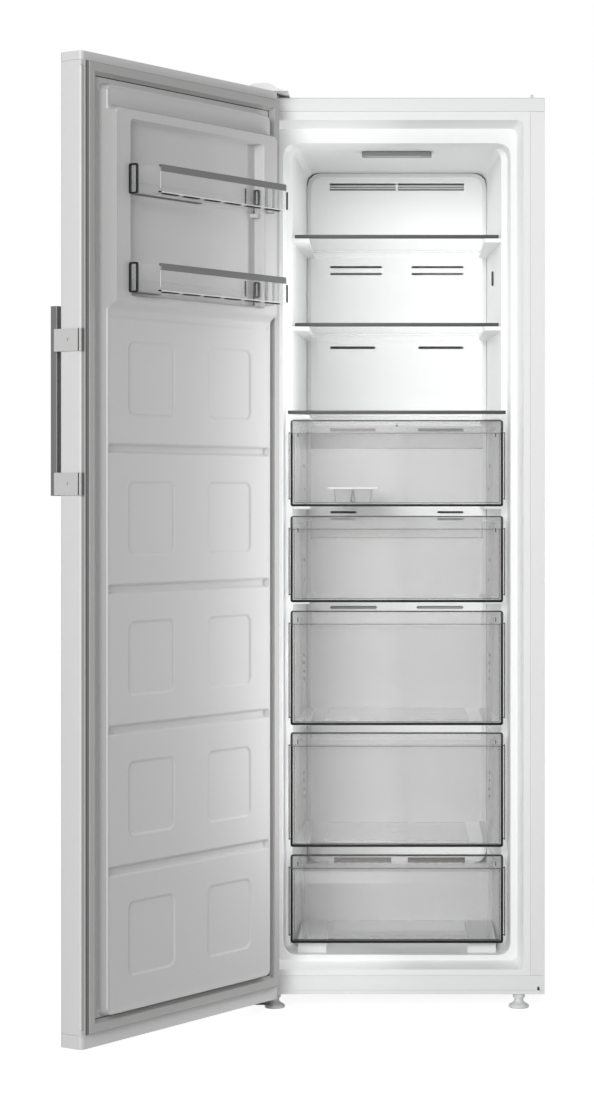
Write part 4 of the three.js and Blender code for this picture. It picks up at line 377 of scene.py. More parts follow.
FINISHES = (
    Finish("casing_white", (0.84, 0.845, 0.84), 0.38, 1400, 0.04, coat=0.15, grain=0.7),
    Finish("trim_white", (0.83, 0.835, 0.835), 0.48, 2200, 0.03),
    Finish("liner_white", (0.88, 0.885, 0.885), 0.5, 900, 0.1, 0.015, waviness=1.0, grain=0.15),
    # the door's two whites are darker copies of the casing's white: painted shade of the door's faces, which
    # stand turned away from the light
    Finish("door_liner_white", (0.58, 0.582, 0.58), 0.42, 900, 0.1, waviness=1.0, grain=0.15),
    Finish("door_white", (0.66, 0.662, 0.66), 0.42, 1400, 0.04, coat=0.1, grain=0.7),
    # a still darker copy of the door's white: painted shade on the skin's inward fold beside the gasket
    Finish("door_margin", (0.4, 0.4, 0.398), 0.5, 1400, 0.04, grain=0.7),
    # painted shade for the steep outer slopes of the door liner's plug and dyke
    Finish("liner_flank", (0.42, 0.42, 0.418), 0.5, waviness=0.6, grain=0.15),
    Finish("gasket_grey", (0.44, 0.44, 0.436), 0.62, 3000, 0.03, 0.05),
    # painted shade for the gasket's outer fold
    Finish("gasket_shade", (0.14, 0.14, 0.138), 0.7, 3000, 0.03, 0.05),
    Finish("foam_yellow", (0.78, 0.7, 0.45), 0.95, 400, 0.5, 0.15, grain=1.0),
    Finish("zinc_sheet", (0.62, 0.63, 0.64), 0.42, 60, 0.02, 0.18, metallic=1.0),
    Finish("copper_tube", (0.72, 0.36, 0.2), 0.32, 300, 0.02, 0.1, metallic=1.0),
    Finish("fin_aluminium", (0.72, 0.73, 0.74), 0.3, 500, 0.02, 0.06, metallic=1.0),
    Finish("black_lacquer", (0.012, 0.012, 0.013), 0.3, 700, 0.08, 0.2, coat=0.4),
    Finish("dark_plastic", (0.03, 0.03, 0.032), 0.5, 2400, 0.06, 0.1),
    Finish("edge_black", (0.012, 0.012, 0.013), 0.4, 1800, 0.02, 0.1, specular=0.12),
    Finish("shelf_trim_grey", (0.02, 0.021, 0.022), 0.35, 1800, 0.04, 0.08),
    Finish("rack_band_grey", (0.17, 0.171, 0.173), 0.34, 1800, 0.03, 0.08),
    Finish("handle_grey", (0.19, 0.19, 0.192), 0.38, 1200, 0.03, 0.06, metallic=0.35),
    Finish("bracket_silver", (0.58, 0.572, 0.57), 0.35, 1200, 0.03, 0.04, metallic=0.25),
    Finish("foot_grey", (0.8, 0.805, 0.805), 0.5, 2000, 0.04, 0.05),
    Finish("ice_rim_white", (0.88, 0.885, 0.885), 0.35, 1500, 0.03, subsurface=0.1),
    # the tray's body takes a darker copy of the rim's white: painted shade
    Finish("ice_tray_white", (0.4, 0.405, 0.405), 0.35, 1500, 0.03, subsurface=0.1),
    Finish("lamp_grey", (0.22, 0.22, 0.22), 0.35, 1500, 0.03),
    Finish("louvre_grey", (0.5, 0.5, 0.5), 0.5, 1500, 0.03),
    # painted shade in the openings of the back panel's slots, the lower ones tinted brown
    Finish("vent_shade", (0.022, 0.01, 0.007), 0.7, 1500, 0.03, specular=0.05),
    Finish("slot_shade", (0.02, 0.02, 0.02), 0.7, 1500, 0.03, specular=0.05),
    ClearFinish("drawer_clear", (0.22, 0.22, 0.217), 0.17),
    ClearFinish("drawer_side", (0.2, 0.2, 0.2), 0.17),
    ClearFinish("drawer_line", (0.05, 0.05, 0.052), 0.65),
    ClearFinish("tub_clear", (0.4, 0.4, 0.396), 0.1, 0.25),
    ClearFinish("tub_plate", (0.8, 0.8, 0.8), 0.25, 0.3),
    # grey clear sheets on the drawers' rear walls: painted shade
    ClearFinish("tub_flap", (0.22, 0.215, 0.21), 0.12, 0.3),
    ClearFinish("rack_clear", (0.6, 0.605, 0.605), 0.07),
    ClearFinish("rack_edge", (0.22, 0.22, 0.225), 0.35),
    ClearFinish("shelf_glass", (0.75, 0.8, 0.78), 0.06, 0.05, 0.02),
    ClearFinish("lamp_frost", (0.7, 0.7, 0.69), 0.7, 0.35),
)
CLEAR = {finish.name for finish in FINISHES if isinstance(finish, ClearFinish)}


# --- meshes


def span(way: int, near: float, far: float) -> list[float]:
    """Gives the ends of a stretch on one side of the middle, the lower one first."""
    return sorted((way * near, way * far))


def off(base: float, pair: Ends) -> tuple[float, float]:
    """Gives a stretch whose two ends lie at given distances from a base."""
    return base + pair[0], base + pair[1]


def rectangle(u0: float, u1: float, v0: float, v1: float) -> list[tuple[float, float]]:
    """Gives the corners of a rectangle in turn."""
    return [(u0, v0), (u1, v0), (u1, v1), (u0, v1)]


def arc_corners(corners: Sequence[Point], radius: float, steps: int) -> list[tuple[float, float]]:
    """Rounds the corners of a convex outline.

    Args:
        corners: the corners in turn.
        radius: radius of each rounding.
        steps: straight steps in each rounding.

    Returns:
        The points of the rounded outline.
    """
    points: list[tuple[float, float]] = []
    for i, corner in enumerate(corners):
        here = Vector(corner)
        before = (Vector(corners[i - 1]) - here).normalized()
        after = (Vector(corners[(i + 1) % len(corners)]) - here).normalized()
        half = before.angle(after) / 2
        centre = here + (before + after).normalized() * radius / math.sin(half)
        start = here + before * radius / math.tan(half) - centre
        way = -1.0 if before.x * after.y - before.y * after.x > 0 else 1.0
        for k in range(steps + 1):
            angle = way * (math.pi - 2 * half) * k / steps
            points.append(tuple(centre + Matrix.Rotation(angle, 2) @ start))
    return points


class Solid:
    """A mesh in the making, in millimetres."""

    def __init__(self) -> None:
        """Starts empty, with faces in the first slot."""
        self.points: list[Point] = []
        self.faces: list[list[int]] = []
        self.slots: list[int] = []
        self.slot = 0

    def use(self, slot: int) -> Solid:
        """Puts the faces that follow in a material slot."""
        self.slot = slot
        return self

    def face(self, corners: list[int]) -> None:
        """Adds a face in the slot in use."""
        self.faces.append(corners)
        self.slots.append(self.slot)

    def loft(self, rings: Sequence[Ring], closed: bool = False, caps: bool = True) -> Solid:
        """Adds a surface through rings of the same length.

        Args:
            rings: the rings in turn.
            closed: True joins the last ring to the first.
            caps: True closes the two ends of an open run.

        Returns:
            This solid.
        """
        base = len(self.points)
        size = len(rings[0])
        for ring in rings:
            self.points.extend(ring)
        for i in range(len(rings) if closed else len(rings) - 1):
            for j in range(size):
                near = base + i * size
                far = base + (i + 1) % len(rings) * size
                k = (j + 1) % size
                self.face([near + j, near + k, far + k, far + j])
        if caps and not closed:
            self.face([base + j for j in reversed(range(size))])
            self.face([base + (len(rings) - 1) * size + j for j in range(size)])
        return self

    def turned(self, profile: Iterable[Point], x: float, y: float, sides: int = 48) -> Solid:
        """Adds a piece turned about a vertical axis.

        Args:
            profile: radius and height pairs from the bottom up.
            x: the axis's place across.
            y: the axis's depth.
            sides: facets round it.

        Returns:
            This solid.
        """
        round_it = [2 * math.pi * k / sides for k in range(sides)]
        rings = [[(x + r * math.cos(t), y + r * math.sin(t), z) for t in round_it] for r, z in profile]
        return self.loft(rings)

    def prism(self, outline: Sequence[Point], axis: str, low: float, high: float) -> Solid:
        """Adds an outline drawn out along an axis.

        Args:
            outline: pairs (x, y) for axis z, or (x, z) for axis y.
            axis: y or z.
            low: where it starts.
            high: where it ends.

        Returns:
            This solid.
        """
        ends = (low, high)
        if axis == "y":
            return self.loft([[(u, at, v) for u, v in outline] for at in ends])
        return self.loft([[(u, v, at) for u, v in outline] for at in ends])

    def bar(self, x: Ends, y: Ends, z: Ends) -> Solid:
        """Adds a straight bar between the low and high values of each axis."""
        return self.prism(rectangle(*x, *y), "z", *z)

    def ring(self, outer: Sequence[Point], inner: Sequence[Point], axis: str, low: float, high: float) -> Solid:
        """Adds a flat frame between two outlines of as many points.

        Args:
            outer: its outer outline.
            inner: its inner outline.
            axis: x for outlines in (y, z), y for outlines in (x, z).
            low: where it starts along the axis.
            high: where it ends.

        Returns:
            This solid.
        """
        rings = []
        for outline, at in ((outer, low), (outer, high), (inner, high), (inner, low)):
            rings.append([(at, u, v) if axis == "x" else (u, at, v) for u, v in outline])
        return self.loft(rings, closed=True)

    def mesh(self, name: str, matrix: Matrix) -> bpy.types.Mesh:
        """Makes the mesh with its faces pointing out.

        Args:
            name: the mesh's name.
            matrix: from millimetres to the frame.

        Returns:
            The Blender mesh.
        """
        mesh = bpy.data.meshes.new(name)
        mesh.from_pydata([tuple(p) for p in self.points], [], self.faces)
        mesh.polygons.foreach_set("material_index", self.slots)
        mesh.transform(matrix)
        edit = bmesh.new()
        edit.from_mesh(mesh)
        bmesh.ops.remove_doubles(edit, verts=edit.verts, dist=SAME_POINT)
        bmesh.ops.recalc_face_normals(edit, faces=edit.faces)
        edit.to_mesh(mesh)
        edit.free()
        return mesh


# --- the workshop


def link(name: str, data: bpy.types.ID) -> bpy.types.Object:
    """Puts an object in the scene.

    Args:
        name: its name.
        data: its mesh, lamp or camera.

    Returns:
        The object.
    """
    made = bpy.data.objects.new(name, data)
    bpy.context.scene.collection.objects.link(made)
    return made


@dataclass(frozen=True)
class Soften:
    """How the edges of a piece are rounded.

    Attributes:
        width: width of the rounding in millimetres.
        segments: steps in it.
        angle: edges sharper than this many degrees are rounded.
    """

    width: float
    segments: int = 2
    angle: float = 28.0


@dataclass
class Workshop:
    """Makes pieces, dresses them and hangs them on the bodies of the frame.

    Attributes:
        place: the two drawing spaces.
        materials: the built materials by name.
    """

    frame: dict
    place: Placement
    materials: dict[str, bpy.types.Material] = field(default_factory=dict)

    def build_materials(self) -> None:
        """Builds the shared group and every finish."""
        surface_group()
        for finish in FINISHES:
            self.materials[finish.name] = finish.build()
        LOG.info("materials: %d", len(self.materials))

    def extent(self, node: str, space: Space = Space.CABINET) -> tuple[Vector, Vector]:
        """Gives the lowest and highest corners of a CAD node in a drawing space.

        Args:
            node: the node's name.
            space: the space to measure in.

        Returns:
            The two corners in millimetres.
        """
        back = self.place.matrix(space).inverted()
        points = [back @ vertex.co for vertex in self.frame["nodes"][node].data.vertices]
        low = Vector([min(p[i] for p in points) for i in range(3)])
        high = Vector([max(p[i] for p in points) for i in range(3)])
        return low, high

    def slot_of(self, node: str) -> str:
        """Gives the material slot that the record names for a node."""
        rows = self.frame["record"]["subparts"]
        return next(row["material_slot"] for row in rows if row["node"] == node)

    def piece(
        self,
        name: str,
        shape: Solid | bpy.types.Mesh,
        node: str,
        finishes: Sequence[str],
        space: Space = Space.CABINET,
        soften: Soften | None = None,
        replaces: bool = False,
    ) -> bpy.types.Object:
        """Links a finished piece, rounds its edges and hangs it on a body.

        Args:
            name: the piece's name.
            shape: a drawn solid, or a mesh in the frame's metres.
            node: the CAD node that it rides with; its slot in the record is looked up but not used.
            finishes: names of the finishes of its slots.
            space: the space that a solid is drawn in.
            soften: how its edges are rounded.
            replaces: True where it stands for the node.

        Returns:
            The object.
        """
        mesh = shape.mesh(name, self.place.matrix(space)) if isinstance(shape, Solid) else shape
        made = link(name, mesh)
        for finish in finishes:
            mesh.materials.append(self.materials[finish])
        mesh.shade_smooth()
        mesh.set_sharp_from_angle(angle=SHARP_EDGE)
        if soften:
            bevel = made.modifiers.new("soft_edges", "BEVEL")
            bevel.width = soften.width * MM
            bevel.segments = soften.segments
            bevel.limit_method = "ANGLE"
            bevel.angle_limit = math.radians(soften.angle)
        if soften or replaces:
            made.modifiers.new("even_normals", "WEIGHTED_NORMAL").keep_sharp = True
        made.visible_shadow = not CLEAR.issuperset(finishes)
        body = self.frame["nodes"][node]["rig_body"]
        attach(made, body)
        self.slot_of(node)
        if replaces:
            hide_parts(node)
        LOG.info("piece %s on %s: %d faces", name, body, len(mesh.polygons))
        return made

    def from_node(
        self, node: str, finishes: Sequence[str], soften: Soften | None, pick: Pick | None = None
    ) -> None:
        """Makes a dressed piece from a CAD node's solid.

        Args:
            node: the node it stands for.
            finishes: names of the finishes of its slots.
            soften: how its edges are rounded; if it is None, every face stays flat.
            pick: gives the slot of a face; all take the first if it is left out.
        """
        mesh = self.frame["nodes"][node].data.copy()
        mesh.name = f"{node}_look"
        mesh.materials.clear()
        given = mesh.attributes.get("custom_normal")
        if given:
            mesh.attributes.remove(given)
        edit = bmesh.new()
        edit.from_mesh(mesh)
        bmesh.ops.remove_doubles(edit, verts=edit.verts, dist=SAME_POINT)
        if soften:
            bmesh.ops.dissolve_limit(edit, angle_limit=FLAT_ENOUGH, verts=edit.verts, edges=edit.edges)
        edit.to_mesh(mesh)
        edit.free()
        self.piece(f"{node}_look", mesh, node, finishes, soften=soften, replaces=True)
        for face in mesh.polygons:
            face.material_index = pick(face) if pick else 0
        if soften is None:
            mesh.shade_flat()

    def dress(self, rows: Iterable[tuple[str, str, Soften | None]]) -> None:
        """Dresses CAD nodes of one finish each.

        Args:
            rows: each node with its finish and its rounding; one without a rounding stays as packed.
        """
        for node, finish, soften in rows:
            if soften:
                self.from_node(node, [finish], soften)
                continue
            for place in self.frame["nodes"][node].material_slots:
                place.material = self.materials[finish]


# --- the door liner


def smooth(value: float) -> float:
    """Eases a share between 0 and 1."""
    t = min(max(value, 0.0), 1.0)
    return t * t * (3 - 2 * t)


def inside(dx: float, dz: float, half_x: float, half_z: float, radius: float) -> float:
    """Gives the distance inside a rounded rectangle, negative outside it.

    Args:
        dx: place across, from the rectangle's middle.
        dz: place up, from its middle.
        half_x: its half width.
        half_z: its half height.
        radius: radius of its corners.

    Returns:
        The distance to its edge.
    """
    u, v = abs(dx) - (half_x - radius), abs(dz) - (half_z - radius)
    return radius - (math.hypot(max(u, 0.0), max(v, 0.0)) + min(max(u, v), 0.0))


def spaced(stops: Sequence[Point], fine: float, coarse: float) -> list[float]:
    """Gives lines that are close together near the stops and wide apart elsewhere.

    Args:
        stops: pairs of a position and the reach of the fine lines each side of it; the first and last
            positions are the ends.
        fine: distance of the fine lines.
        coarse: distance of the others.

    Returns:
        The positions of the lines in rising order.
    """
    at, end = stops[0][0], stops[-1][0]
    lines = [at]
    while at < end - SAME_POINT:
        near = any(abs(at - place) <= reach for place, reach in stops)
        ahead = [place - reach for place, reach in stops if place - reach > at + SAME_POINT]
        step = fine if near else min(coarse, max(fine, min(ahead, default=end) - at))
        at = min(at + step, end)
        lines.append(at)
    return lines


@dataclass
class DoorLiner:
    """The formed inner face of the door as one smooth sheet.

    Heights are above the door's inner plane. The plug is the raised middle, the dyke the frame round the
    racks, the bay the hollow inside it, the ledge the line below it and the fields the sunk squares.
    """

    half: float = 283.2
    bottom: float = 57.3
    top: float = 1821.7
    plug_half: float = 251.0
    plug_bottom: float = 84.0
    plug_top: float = 1786.0
    plug_height: float = 17.0
    plug_draft: float = 4.5
    plug_radius: float = 16.0
    ridge: float = 1.2
    ridge_start: float = 5.0
    ridge_run: float = 8.0
    dyke_height: float = 37.3
    dyke_half: float = 248.4
    dyke_draft: float = 5.2
    dyke_inner: float = 202.6
    dyke_bottom: float = 1311.5
    dyke_top: float = 1745.4
    dyke_inner_top: float = 1722.6
    dyke_inner_bottom: float = 1399.4
    dyke_radius: float = 16.0
    bay_radius: float = 8.0
    bay_draft: float = 4.6
    foot_bottom: float = 1371.5
    foot_height: float = 20.0
    ledge: float = 1363.0
    ledge_half: float = 5.0
    ledge_run: float = 3.0
    ledge_depth: float = 1.3
    groove_first: float = 1120.2
    groove_pitch: float = 257.5
    groove_count: int = 4
    groove_height: float = 16.0
    groove_depth: float = 7.4
    groove_half: float = 243.0
    groove_run: float = 4.0
    groove_end: float = 5.0
    groove_rounding: float = 0.3
    field_x: float = 117.5
    field_half: float = 67.0
    field_radius: float = 15.0
    field_depth: float = 2.6
    field_run: float = 3.0
    field_rounding: float = 0.5
    wall: float = 1.5
    flank_slope: float = 1.2
    fine: float = 2.0
    coarse: Sizes = (26.0, 30.0)
    lug_levels: Sizes = (1584.5, 1404.5)
    lug_across: Ends = (182.0, 201.0)
    lug_below: Ends = (8.3, 0.3)
    lug_heights: Ends = (-1.0, 12.0)
    lug_radius: float = 2.5

    def in_plug(self, x: float, z: float) -> float:
        """Gives how far inside the raised middle a point is."""
        middle, half = (self.plug_bottom + self.plug_top) / 2, (self.plug_top - self.plug_bottom) / 2
        return inside(x, z - middle, self.plug_half, half, self.plug_radius)

    def in_dyke(self, x: float, z: float) -> float:
        """Gives how far inside the dyke's outer edge a point is."""
        middle, half = (self.dyke_bottom + self.dyke_top) / 2, (self.dyke_top - self.dyke_bottom) / 2
        return inside(x, z - middle, self.dyke_half, half, self.dyke_radius)

    def in_bay(self, x: float, z: float) -> float:
        """Gives how far inside the bay a point is."""
        low, high = self.dyke_inner_bottom, self.dyke_inner_top
        return inside(x, z - (low + high) / 2, self.dyke_inner, (high - low) / 2, self.bay_radius)

    def height(self, x: float, z: float) -> float:
        """Gives the height of the sheet at a point.

        Args:
            x: place across the door.
            z: place up the door.

        Returns:
            The height above the inner plane.
        """
        plug = self.in_plug(x, z)
        rise = self.plug_height * smooth(plug / self.plug_draft)
        fall = 1 - smooth((plug - self.ridge_start) / self.ridge_run)
        rise += self.ridge * smooth(plug / self.plug_draft) * fall
        dyke = smooth(self.in_dyke(x, z) / self.dyke_draft)
        dyke *= smooth((z - self.foot_bottom) / self.foot_height)
        dyke *= 1 - smooth(self.in_bay(x, z) / self.bay_draft)
        rise += (self.dyke_height - self.plug_height) * dyke
        across = smooth((self.groove_half - abs(x)) / self.groove_end)
        off = abs(z - self.ledge)
        rise -= self.ledge_depth * smooth((self.ledge_half - off) / self.ledge_run) * across
        for k in range(self.groove_count):
            off = abs(z - self.groove_first + k * self.groove_pitch) - self.groove_height / 2
            rise -= self.groove_depth * smooth(-off / self.groove_run + self.groove_rounding) * across
        for k in range(self.groove_count + 1):
            dz = z - (self.groove_first + self.groove_pitch / 2 - k * self.groove_pitch)
            dx = abs(x) - self.field_x
            edge = inside(dx, dz, self.field_half, self.field_half, self.field_radius)
            rise -= self.field_depth * smooth(edge / self.field_run + self.field_rounding)
        return rise

    def on_outer_flank(self, x: float, z: float) -> bool:
        """Tells whether a point lies on the outer slope of the raised middle or of the dyke."""
        on_dyke = z > self.foot_bottom and 0 < self.in_dyke(x, z) < self.dyke_draft
        return self.in_plug(x, z) < self.plug_draft or on_dyke

    def lines(self) -> tuple[list[float], list[float]]:
        """Gives the places of the sheet's lines, fine where its form changes.

        Returns:
            The places across and the places up.
        """
        across = [
            (self.plug_half - 3, 9.0),
            (self.dyke_half - 3, 8.0),
            (self.dyke_inner - 2, 7.0),
            (self.field_x + self.field_half - 5, 12.0),
            (self.field_x - self.field_half + 5, 12.0),
        ]
        up = [
            (self.plug_bottom + 5, 13.0),
            (self.plug_top - 5, 13.0),
            (self.dyke_top - 3, 9.0),
            (self.dyke_inner_top - 2, 8.0),
            (self.dyke_inner_bottom + 2, 8.0),
            (self.foot_bottom + 10, 14.0),
            (self.ledge, 9.0),
        ]
        for k in range(self.groove_count + 1):
            middle = self.groove_first + self.groove_pitch / 2 - k * self.groove_pitch
            up += [(middle - self.field_half + 5, 12.0), (middle + self.field_half - 5, 12.0)]
            if k < self.groove_count:
                up.append((self.groove_first - k * self.groove_pitch, 14.0))
        both = sorted([(-x, reach) for x, reach in across] + across)
        xs = spaced([(-self.half, 0.5), *both, (self.half, 0.5)], self.fine, self.coarse[0])
        zs = spaced([(self.bottom, 0.5), *sorted(up), (self.top, 0.5)], self.fine, self.coarse[1])
        return xs, zs

    def sheet(self) -> Solid:
        """Makes the sheet with its edge and back.

        Returns:
            The solid, with its steep outer slopes in the second slot, which carries painted shade.
        """
        xs, zs = self.lines()
        solid = Solid()
        front = [[(x, DOOR_PLANE + self.height(x, z), z) for x in xs] for z in zs]
        count, rows = len(xs), len(zs)
        for row in front:
            solid.points.extend(row)
        back = len(solid.points)
        for row in front:
            solid.points.extend((x, y - self.wall, z) for x, y, z in row)
        for i in range(rows - 1):
            for j in range(count - 1):
                a = i * count + j
                x, z = (xs[j] + xs[j + 1]) / 2, (zs[i] + zs[i + 1]) / 2
                here = front[i][j][1]
                across = abs(front[i][j + 1][1] - here) / (xs[j + 1] - xs[j])
                up = abs(front[i + 1][j][1] - here) / (zs[i + 1] - zs[i])
                # steep outer slopes take the darker second finish: painted shade on the slopes of the plug and
                # the dyke
                steep = max(across, up) > self.flank_slope and self.on_outer_flank(x, z)
                solid.use(int(steep)).face([a, a + 1, a + count + 1, a + count])
                solid.use(0).face([back + a, back + a + count, back + a + count + 1, back + a + 1])
        rim = list(range(count))
        rim += [i * count + count - 1 for i in range(1, rows)]
        rim += [(rows - 1) * count + j for j in reversed(range(count - 1))]
        rim += [i * count for i in reversed(range(1, rows - 1))]
        for a, b in zip(rim, rim[1:] + rim[:1]):
            solid.face([a, b, back + b, back + a])
        return solid

    def build(self, shop: Workshop) -> None:
        """Makes the sheet and the lugs that carry the racks.

        Args:
            shop: the workshop.
        """
        solid = self.sheet()
        plate = DOOR_PLANE + self.plug_height
        near, far = off(plate, self.lug_heights)
        for level in self.lug_levels:
            low, high = (level - below for below in self.lug_below)
            for way in SIDES:
                outline = arc_corners(rectangle(*span(way, *self.lug_across), low, high), self.lug_radius, 4)
                solid.prism(outline, "y", near, far)
        finishes = ["door_liner_white", "liner_flank"]
        made = shop.piece("door_liner_sheet", solid, "door_liner", finishes, Space.DOOR, replaces=True)
        made.data.set_sharp_from_angle(angle=SHARP_LINER_EDGE)


@dataclass
class Gasket:
    """The magnetic gasket: a bellows section with mitred corners and a dark line of painted shadow inside it.

    Attributes:
        outer_side: the section's outer part, as insets from the outer edge and heights.
        inner_side: its inner part, as insets from the inner edge and heights.
        fold: which steps of the section carry painted shade, on the fold's outer side.
        line: how far the dark line of painted shadow lies inside the gasket, and how far its other side does.
    """

    outer_half: float = 291.0
    bottom: float = 57.3
    top: float = 1821.7
    width: float = 25.0
    outer_side: Pairs = (
        (0.0, 0.3), (0.0, 2.2), (1.2, 3.0), (3.2, 3.1), (4.0, 3.6), (3.4, 5.0),
        (3.2, 6.2), (3.8, 7.3), (3.0, 8.6), (3.0, 10.0), (4.0, 10.9), (6.0, 11.0),
    )  # fmt: skip
    inner_side: Pairs = (
        (8.0, 11.0), (6.0, 10.8), (5.2, 9.8), (5.4, 8.2), (4.0, 7.0),
        (4.6, 5.6), (3.4, 4.2), (0.6, 3.0), (0.0, 2.0), (0.0, 0.3),
    )  # fmt: skip
    fold: range = range(2, 9)
    line: Ends = (0.1, 1.3)
    shade_line_heights: Ends = (0.1, 0.7)

    def lap(self, inset: float, height: float) -> Ring:
        """Gives a rectangle round the door.

        Args:
            inset: how far it lies inside the gasket's outer edge.
            height: its height above the door's plane.

        Returns:
            Its corners.
        """
        half = self.outer_half - inset
        corners = rectangle(-half, half, self.bottom + inset, self.top - inset)
        return [(u, DOOR_PLANE + height, v) for u, v in corners]

    def build(self, shop: Workshop) -> None:
        """Sweeps the section and the line round the door.

        Args:
            shop: the workshop.
        """
        section = [*self.outer_side, *((self.width - inset, height) for inset, height in self.inner_side)]
        laps = [self.lap(*corner) for corner in section]
        bellows = Solid()
        # the steps of the fold take the second finish: painted shade
        for k, (near, far) in enumerate(zip(laps, laps[1:] + laps[:1])):
            bellows.use(int(k in self.fold)).loft([near, far], caps=False)
        finishes = ["gasket_grey", "gasket_shade"]
        shop.piece("gasket_bellows", bellows, "door_gasket", finishes, Space.DOOR, replaces=True)
        # a dark ring just inside the gasket: painted shadow of the gap between the gasket and the liner's
        # raised middle
        (near, far), (low, high) = (self.width + inset for inset in self.line), self.shade_line_heights
        corners = ((near, low), (near, high), (far, high), (far, low))
        line = Solid().loft([self.lap(*corner) for corner in corners], closed=True)
        shop.piece("gasket_shade_line", line, "door_gasket", ["dark_plastic"], Space.DOOR)


# --- studio


@dataclass
class Studio:
    """Camera, floor, lights and world.

    Attributes:
        sky: strength of the plain sky that lights the object.
        key: power of the large lamp before the object, in watts.
        cavity_lamp: power of the lamp in the cabinet's ceiling.
        window: power of the lamp in the cabinet's opening.
        strip: power of the lamp that lights the door's inner face.
        paper: what the floor gives back of the light.
        shade: how far the object's shadow shows on the floor as it is seen.
        glow: the floor's own brightness as it is seen.
    """

    camera_distance: float = 5300.0
    camera_height: float = 1031.0
    millimetres_per_pixel: float = 2.0117
    photo_width: int = 594
    photo_height: int = 1097
    axis_px: float = 396.8
    horizon_px: float = 497.0
    sensor: float = 36.0
    sky: float = 0.29
    key: float = 212.0
    cavity_lamp: float = 0.2
    window: float = 1.15
    strip: float = 3.3
    seen_in_gloss: float = 50.0
    floor_reach: float = 60.0
    paper: float = 0.85
    shade: float = 0.3
    glow: float = 0.92
    clear_layers: int = 48

    def camera(self, shop: Workshop) -> None:
        """Places the camera level and square to the cabinet, as for the photograph.

        Args:
            shop: the workshop.
        """
        data = bpy.data.cameras.new("camera")
        data.sensor_width = self.sensor
        data.lens = self.sensor / self.photo_height * self.camera_distance / self.millimetres_per_pixel
        data.shift_x = (self.photo_width / 2 - self.axis_px) / self.photo_height
        data.shift_y = (self.horizon_px - self.photo_height / 2) / self.photo_height
        made = link("camera", data)
        eye = Vector((0, -self.camera_distance, self.camera_height))
        made.location = shop.place.matrix(Space.CABINET) @ eye
        made.rotation_euler = (math.radians(90), 0, 0)
        bpy.context.scene.camera = made

    def light(self, name: str, at: Point, aim: Point, size: tuple[float, float], power: float) -> None:
        """Adds a soft lamp that isn't seen itself.

        Args:
            name: its name.
            at: its place in metres.
            aim: the point it faces.
            size: its width and height in metres.
            power: its power in watts.
        """
        data = bpy.data.lights.new(name, "AREA")
        data.shape = "RECTANGLE"
        data.size, data.size_y = size
        data.energy = power
        made = link(name, data)
        made.location = at
        made.rotation_euler = (Vector(aim) - Vector(at)).to_track_quat("-Z", "Y").to_euler()
        made.visible_camera = False
        made.visible_transmission = False
        made.visible_glossy = power > self.seen_in_gloss

    def world(self) -> None:
        """Makes a white backdrop and a plain soft sky for the light."""
        world = bpy.data.worlds.new("studio")
        bpy.context.scene.world = world
        world.use_nodes = True
        world.node_tree.nodes.clear()
        g = Graph(world.node_tree)
        rays = g.node("LightPath").outputs
        bounced = g.math("MAXIMUM", rays["Is Glossy Ray"], rays["Is Transmission Ray"])
        mix = g.node("MixShader", {"Fac": g.math("MAXIMUM", rays["Is Camera Ray"], bounced)})
        for socket, strength in zip(mix.inputs[1:], (self.sky, 1.0)):
            plain = g.node("Background", {"Color": (1.0, 1.0, 1.0, 1.0), "Strength": strength})
            g.feed(socket, plain.outputs[0])
        g.node("OutputWorld", {"Surface": mix.outputs[0]})

    def floor(self) -> None:
        """Lays a white floor that shows the object's soft shadow."""
        mesh = bpy.data.meshes.new("floor")
        reach = self.floor_reach
        mesh.from_pydata([(u, v, 0.0) for u, v in rectangle(-reach, reach, -reach, reach)], [], [[0, 1, 2, 3]])
        made = link("floor", mesh)
        material, g, _ = new_material("floor_white")
        g.tree.nodes.clear()
        paper, shade = (
            g.node("BsdfDiffuse", {"Color": (tone, tone, tone, 1.0)}) for tone in (self.paper, self.shade)
        )
        glow = g.node("Emission", {"Color": (1.0, 1.0, 1.0, 1.0), "Strength": self.glow})
        seen = g.node("AddShader")
        mix = g.node("MixShader", {"Fac": g.node("LightPath").outputs["Is Camera Ray"]})
        for socket, source in (
            (seen.inputs[0], glow),
            (seen.inputs[1], shade),
            (mix.inputs[1], paper),
            (mix.inputs[2], seen),
        ):
            g.feed(socket, source.outputs[0])
        g.node("OutputMaterial", {"Surface": mix.outputs[0]})
        mesh.materials.append(material)

    def build(self, shop: Workshop) -> None:
        """Builds the whole studio.

        Args:
            shop: the workshop.
        """
        scene = bpy.context.scene
        scene.view_settings.view_transform = "Standard"
        scene.cycles.transparent_max_bounces = self.clear_layers
        self.camera(shop)
        self.world()
        self.floor()
        self.light("key", (-1.4, -5.8, 2.3), (0.15, 0.0, 1.1), (3.0, 2.4), self.key)
        cabinet = shop.place.matrix(Space.CABINET)
        for name, at, aim, size, power in (
            ("cavity_lamp", (0, 190, 1728), (0, 190, 900), (0.26, 0.26), self.cavity_lamp),
            ("window_light", (0, -5, 850), (0, 300, 850), (0.3, 1.35), self.window),
            ("door_light", (60, -40, 925), (-430, -288, 925), (0.05, 1.33), self.strip),
        ):
            self.light(name, cabinet @ Vector(at), cabinet @ Vector(aim), size, power)


# --- sub-assemblies


